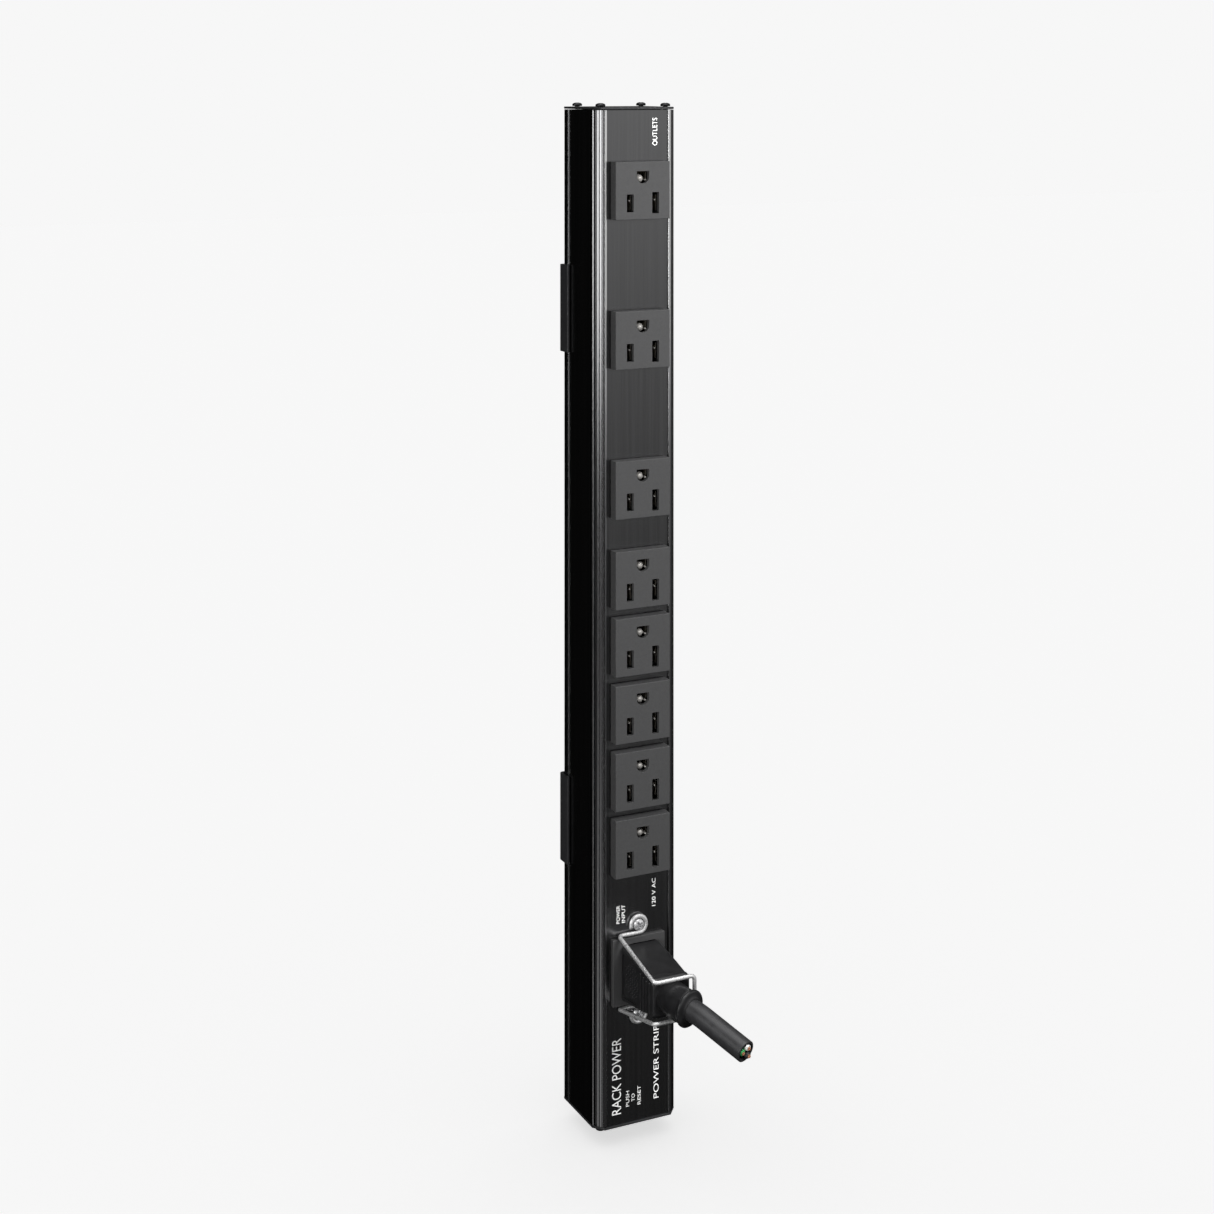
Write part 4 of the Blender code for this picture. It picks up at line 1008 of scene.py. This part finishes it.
def make_breaker():
    """The breaker's threaded neck with its hexagon nut, and the push button inside it."""
    nut_low, nut_high = box_mm("breaker_nut")
    button_low, _ = box_mm("breaker_button")
    x, y = (nut_low.x + nut_high.x) / 2, (nut_low.y + nut_high.y) / 2
    neck_end = button_low.z + 2.5
    thread = [(BREAKER_NECK, nut_high.z + 4)]
    height = nut_high.z
    while height > neck_end + 0.9:
        thread += [(BREAKER_NECK + 0.1, height), (BREAKER_NECK - 0.25, height - THREAD_PITCH / 2)]
        height -= THREAD_PITCH
    bore = BUTTON_RADIUS + 0.3
    lip = [(BREAKER_NECK - 0.1, neck_end + 0.4), (BREAKER_NECK - 0.4, neck_end - 0.05),
           (bore + 0.3, neck_end - 0.05), (bore, neck_end + 0.25), (bore, neck_end + 5)]
    neck = softened(moved(turned(thread + lip, 48), x, y), 0)
    show("breaker_neck_thread", neck, "inner_plastic", material="button_plastic")
    across = (nut_high.x - nut_low.x) / 2
    nut = prism(circle(0, 0, across, 6), nut_low.z, nut_high.z)
    crown = turned([(across * 0.86, nut_low.z - 0.01), (across * 1.01, nut_low.z + 0.75),
                    (across * 1.01, nut_high.z - 0.3), (across * 0.93, nut_high.z + 0.01)], 60)
    bored = combined(
        nut, ("INTERSECT", crown),
        ("DIFFERENCE", prism(circle(0, 0, BREAKER_NECK + 0.2, 48), nut_low.z - 1, nut_high.z + 1)))
    hexagon = softened(moved(bored, x, y), 0.12, 2, 25)
    show("breaker_hex_nut", hexagon, "bright_steel", stands_for=["breaker_nut"])
    radius, low = BUTTON_RADIUS, button_low.z
    button = [(radius, neck_end + 7.9), (radius, low + 0.6), (radius - 0.12, low + 0.25),
              (radius - 0.45, low + 0.05), (radius - 0.8, low), (radius - 1.1, low + 0.08),
              (radius - 1.8, low + 0.3), (0.6, low + 0.4)]
    mesh = softened(moved(turned(button, 48), x, y), 0)
    show("breaker_push_button", mesh, "button_plastic", "breaker_button", ["breaker_button"])


def make_rear_cover():
    """The sheet slid into the housing's rear slots, with three pressed stiffening grooves along it."""
    low, high = box_mm("rear_cover")
    plate = block(low, high)
    half_width, half_length = COVER_GROOVE_HALF_WIDTH, (high.z - low.z) / 2 - COVER_MARGIN
    grooves = []
    for x in COVER_GROOVES:
        outline = rounded_rectangle(half_width, half_length, half_width, (x, 0), 8)
        grooves.append(upright_prism(outline, high.y - COVER_GROOVE_DEPTH, high.y + 1))
    cutters = moved(joined(*grooves), z=(low.z + high.z) / 2)
    mesh = softened(combined(plate, ("DIFFERENCE", cutters)), 0.2, 3)
    show("rear_cover_sheet", mesh, "black_sheet", stands_for=["rear_cover"])


# ---- lettering

def lettering(text, x, z, length, height):
    """A word that reads upwards on the panel. x and z are its middle."""
    curve = bpy.data.curves.new("word", "FONT")
    curve.body = text
    curve.extrude = 0.0001
    curve.offset = THINNED
    obj = bpy.data.objects.new("word", curve)
    bpy.context.scene.collection.objects.link(obj)
    mesh = evaluated(obj)
    low = [min(v.co[i] for v in mesh.vertices) for i in range(3)]
    high = [max(v.co[i] for v in mesh.vertices) for i in range(3)]
    middle = [(a + b) / 2 for a, b in zip(low, high)]
    size = Vector((length / (high[0] - low[0]), height / (high[1] - low[1]), INK_HEIGHT / (high[2] - low[2])))
    mesh.transform(Matrix.Diagonal((*size, 1)) @ Matrix.Translation(-Vector(middle)))
    mesh.transform(Matrix.Scale(MM, 4))
    upwards = Matrix(((0, -1, 0, 0), (0, 0, -1, 0), (1, 0, 0, 0), (0, 0, 0, 1)))
    return moved(mesh, x, Y_PANEL, z, upwards)


def make_lettering():
    """Generic words. Their heights are measured from the housing's top or from the inlet's middle."""
    words = []
    for level, table in ((HOUSING_HIGH.z, HOUSING_WORDS), (INLET_Z, INLET_WORDS)):
        for text, x, height, length, width in table:
            words.append(lettering(text, x, level + height, length, width))
    show("panel_lettering", joined(*words), "black_anodised", material="printed_ink")


# ---- carried-over nodes

def finish_packed_nodes():
    """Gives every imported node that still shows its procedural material."""
    slots = {part["node"]: part["material_slot"] for part in frame["record"]["subparts"]}
    for name, obj in frame["nodes"].items():
        obj.data.materials.clear()
        obj.data.materials.append(MATERIALS[slots[name]])


# ---- studio and camera

def make_world():
    """Daylight from overhead, and reflections that are bright in front on the right and fade towards the
    floor, the left and the back. The camera sees the shade that the floor has far away."""
    world = bpy.data.worlds.new("studio")
    world.use_nodes = True
    bpy.context.scene.world = world
    tree = Tree(world.node_tree)
    direction = tree.add("ShaderNodeTexCoord").outputs["Generated"]
    height = tree.parts(direction)["Z"]

    def lobe(towards, strength, start, end, fade):
        """Brightness round a direction."""
        aim = tree.add("ShaderNodeVectorMath")
        aim.operation = "DOT_PRODUCT"
        tree.join(direction, aim.inputs[0])
        tree.join(towards, aim.inputs[1])
        level = tree.sum("POWER", fade, tree.sum("MINIMUM", height, 0.0))
        return tree.sum("MULTIPLY", tree.map_range(aim.outputs["Value"], 0, strength, start, end), level)

    reflected = tree.map_range(height, 0.004, 4.0, 0.8, 1.0)
    for row in REFLECTIONS:
        reflected = tree.sum("ADD", reflected, lobe(*row))
    overhead = tree.map_range(height, HORIZON, OVERHEAD, 0.3, 0.85)
    rays = tree.add("ShaderNodeLightPath").outputs
    unseen = tree.add("ShaderNodeMix", Factor=rays["Is Glossy Ray"], A=overhead, B=reflected)
    seen = tree.add("ShaderNodeMix", Factor=rays["Is Camera Ray"], A=unseen.outputs["Result"], B=BACKDROP)
    background = world.node_tree.nodes["Background"].inputs
    tree.join(seen.outputs["Result"], background["Strength"])
    tree.join((1, 1, 1, 1), background["Color"])


def area_light(name, place, aim, size, power, hidden_from):
    """A soft light. Diffuse or glossy rays don't see it."""
    light = bpy.data.lights.new(name, "AREA")
    light.shape = "RECTANGLE"
    light.size, light.size_y = size
    light.energy = power
    obj = bpy.data.objects.new(name, light)
    obj.location = place
    obj.rotation_euler = (Vector(aim) - Vector(place)).to_track_quat("-Z", "Y").to_euler()
    setattr(obj, f"visible_{hidden_from}", False)
    bpy.context.scene.collection.objects.link(obj)
    return obj


def spare(lights, floor):
    """Keeps the lights off the floor, which the overhead light alone makes evenly pale."""
    others = bpy.data.collections.new("not_the_floor")
    others.objects.link(floor)
    others.collection_objects[0].light_linking.link_state = "EXCLUDE"
    for light in lights:
        light.light_linking.receiver_collection = others


def make_studio():
    """The world, the floor and the lights."""
    make_world()
    low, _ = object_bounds()
    slab = block((-FLOOR_REACH, -FLOOR_REACH, -FLOOR_THICKNESS), (FLOOR_REACH, FLOOR_REACH, 0))
    floor = bpy.data.objects.new("floor", slab)
    floor.location = (0, 0, low.z - MM)
    pale = Shader("pale_floor", (0.8, 0.8, 0.8), 0.9, 0.0, 0.0)
    pale.set("Emission Color", (1, 1, 1, 1))
    pale.set("Emission Strength", FLOOR_GLOW)
    floor.data.materials.append(pale.material)
    floor.visible_glossy = False
    floor.visible_diffuse = False
    bpy.context.scene.collection.objects.link(floor)
    spare([area_light(*row) for row in LIGHTS], floor)
    bpy.context.scene.view_settings.view_transform = "Standard"


def make_camera():
    """The camera looks level and sees the strip below its axis, so upright lines stay upright. Its vertical
    shift lasts while its rotation is in Euler angles (mode 1). A view from elsewhere turns it with a
    quaternion (mode 0) and is centred by its direction alone."""
    data = bpy.data.cameras.new("camera")
    camera = bpy.data.objects.new("camera", data)
    bpy.context.scene.collection.objects.link(camera)
    bpy.context.scene.camera = camera
    data.sensor_width = 36.0
    data.lens = FOCAL_LENGTH
    data.clip_start = 0.01
    camera.location = CAMERA_PLACE
    camera.rotation_euler = (math.radians(90), 0, math.radians(CAMERA_TURN))
    curve = data.driver_add("shift_y")
    curve.driver.type = "AVERAGE"
    variable = curve.driver.variables.new()
    variable.targets[0].id = camera
    variable.targets[0].data_path = "rotation_mode"
    while curve.modifiers:
        curve.modifiers.remove(curve.modifiers[0])
    for mode, shift in enumerate((0, VERTICAL_SHIFT)):
        curve.keyframe_points.insert(mode, shift).interpolation = "LINEAR"


make_housing()
make_caps()
make_cap_screws()
make_clips()
make_outlets()
make_inlet()
make_plug()
make_cord()
make_bail()
make_inlet_screws()
make_breaker()
make_rear_cover()
make_lettering()
finish_packed_nodes()
make_studio()
make_camera()
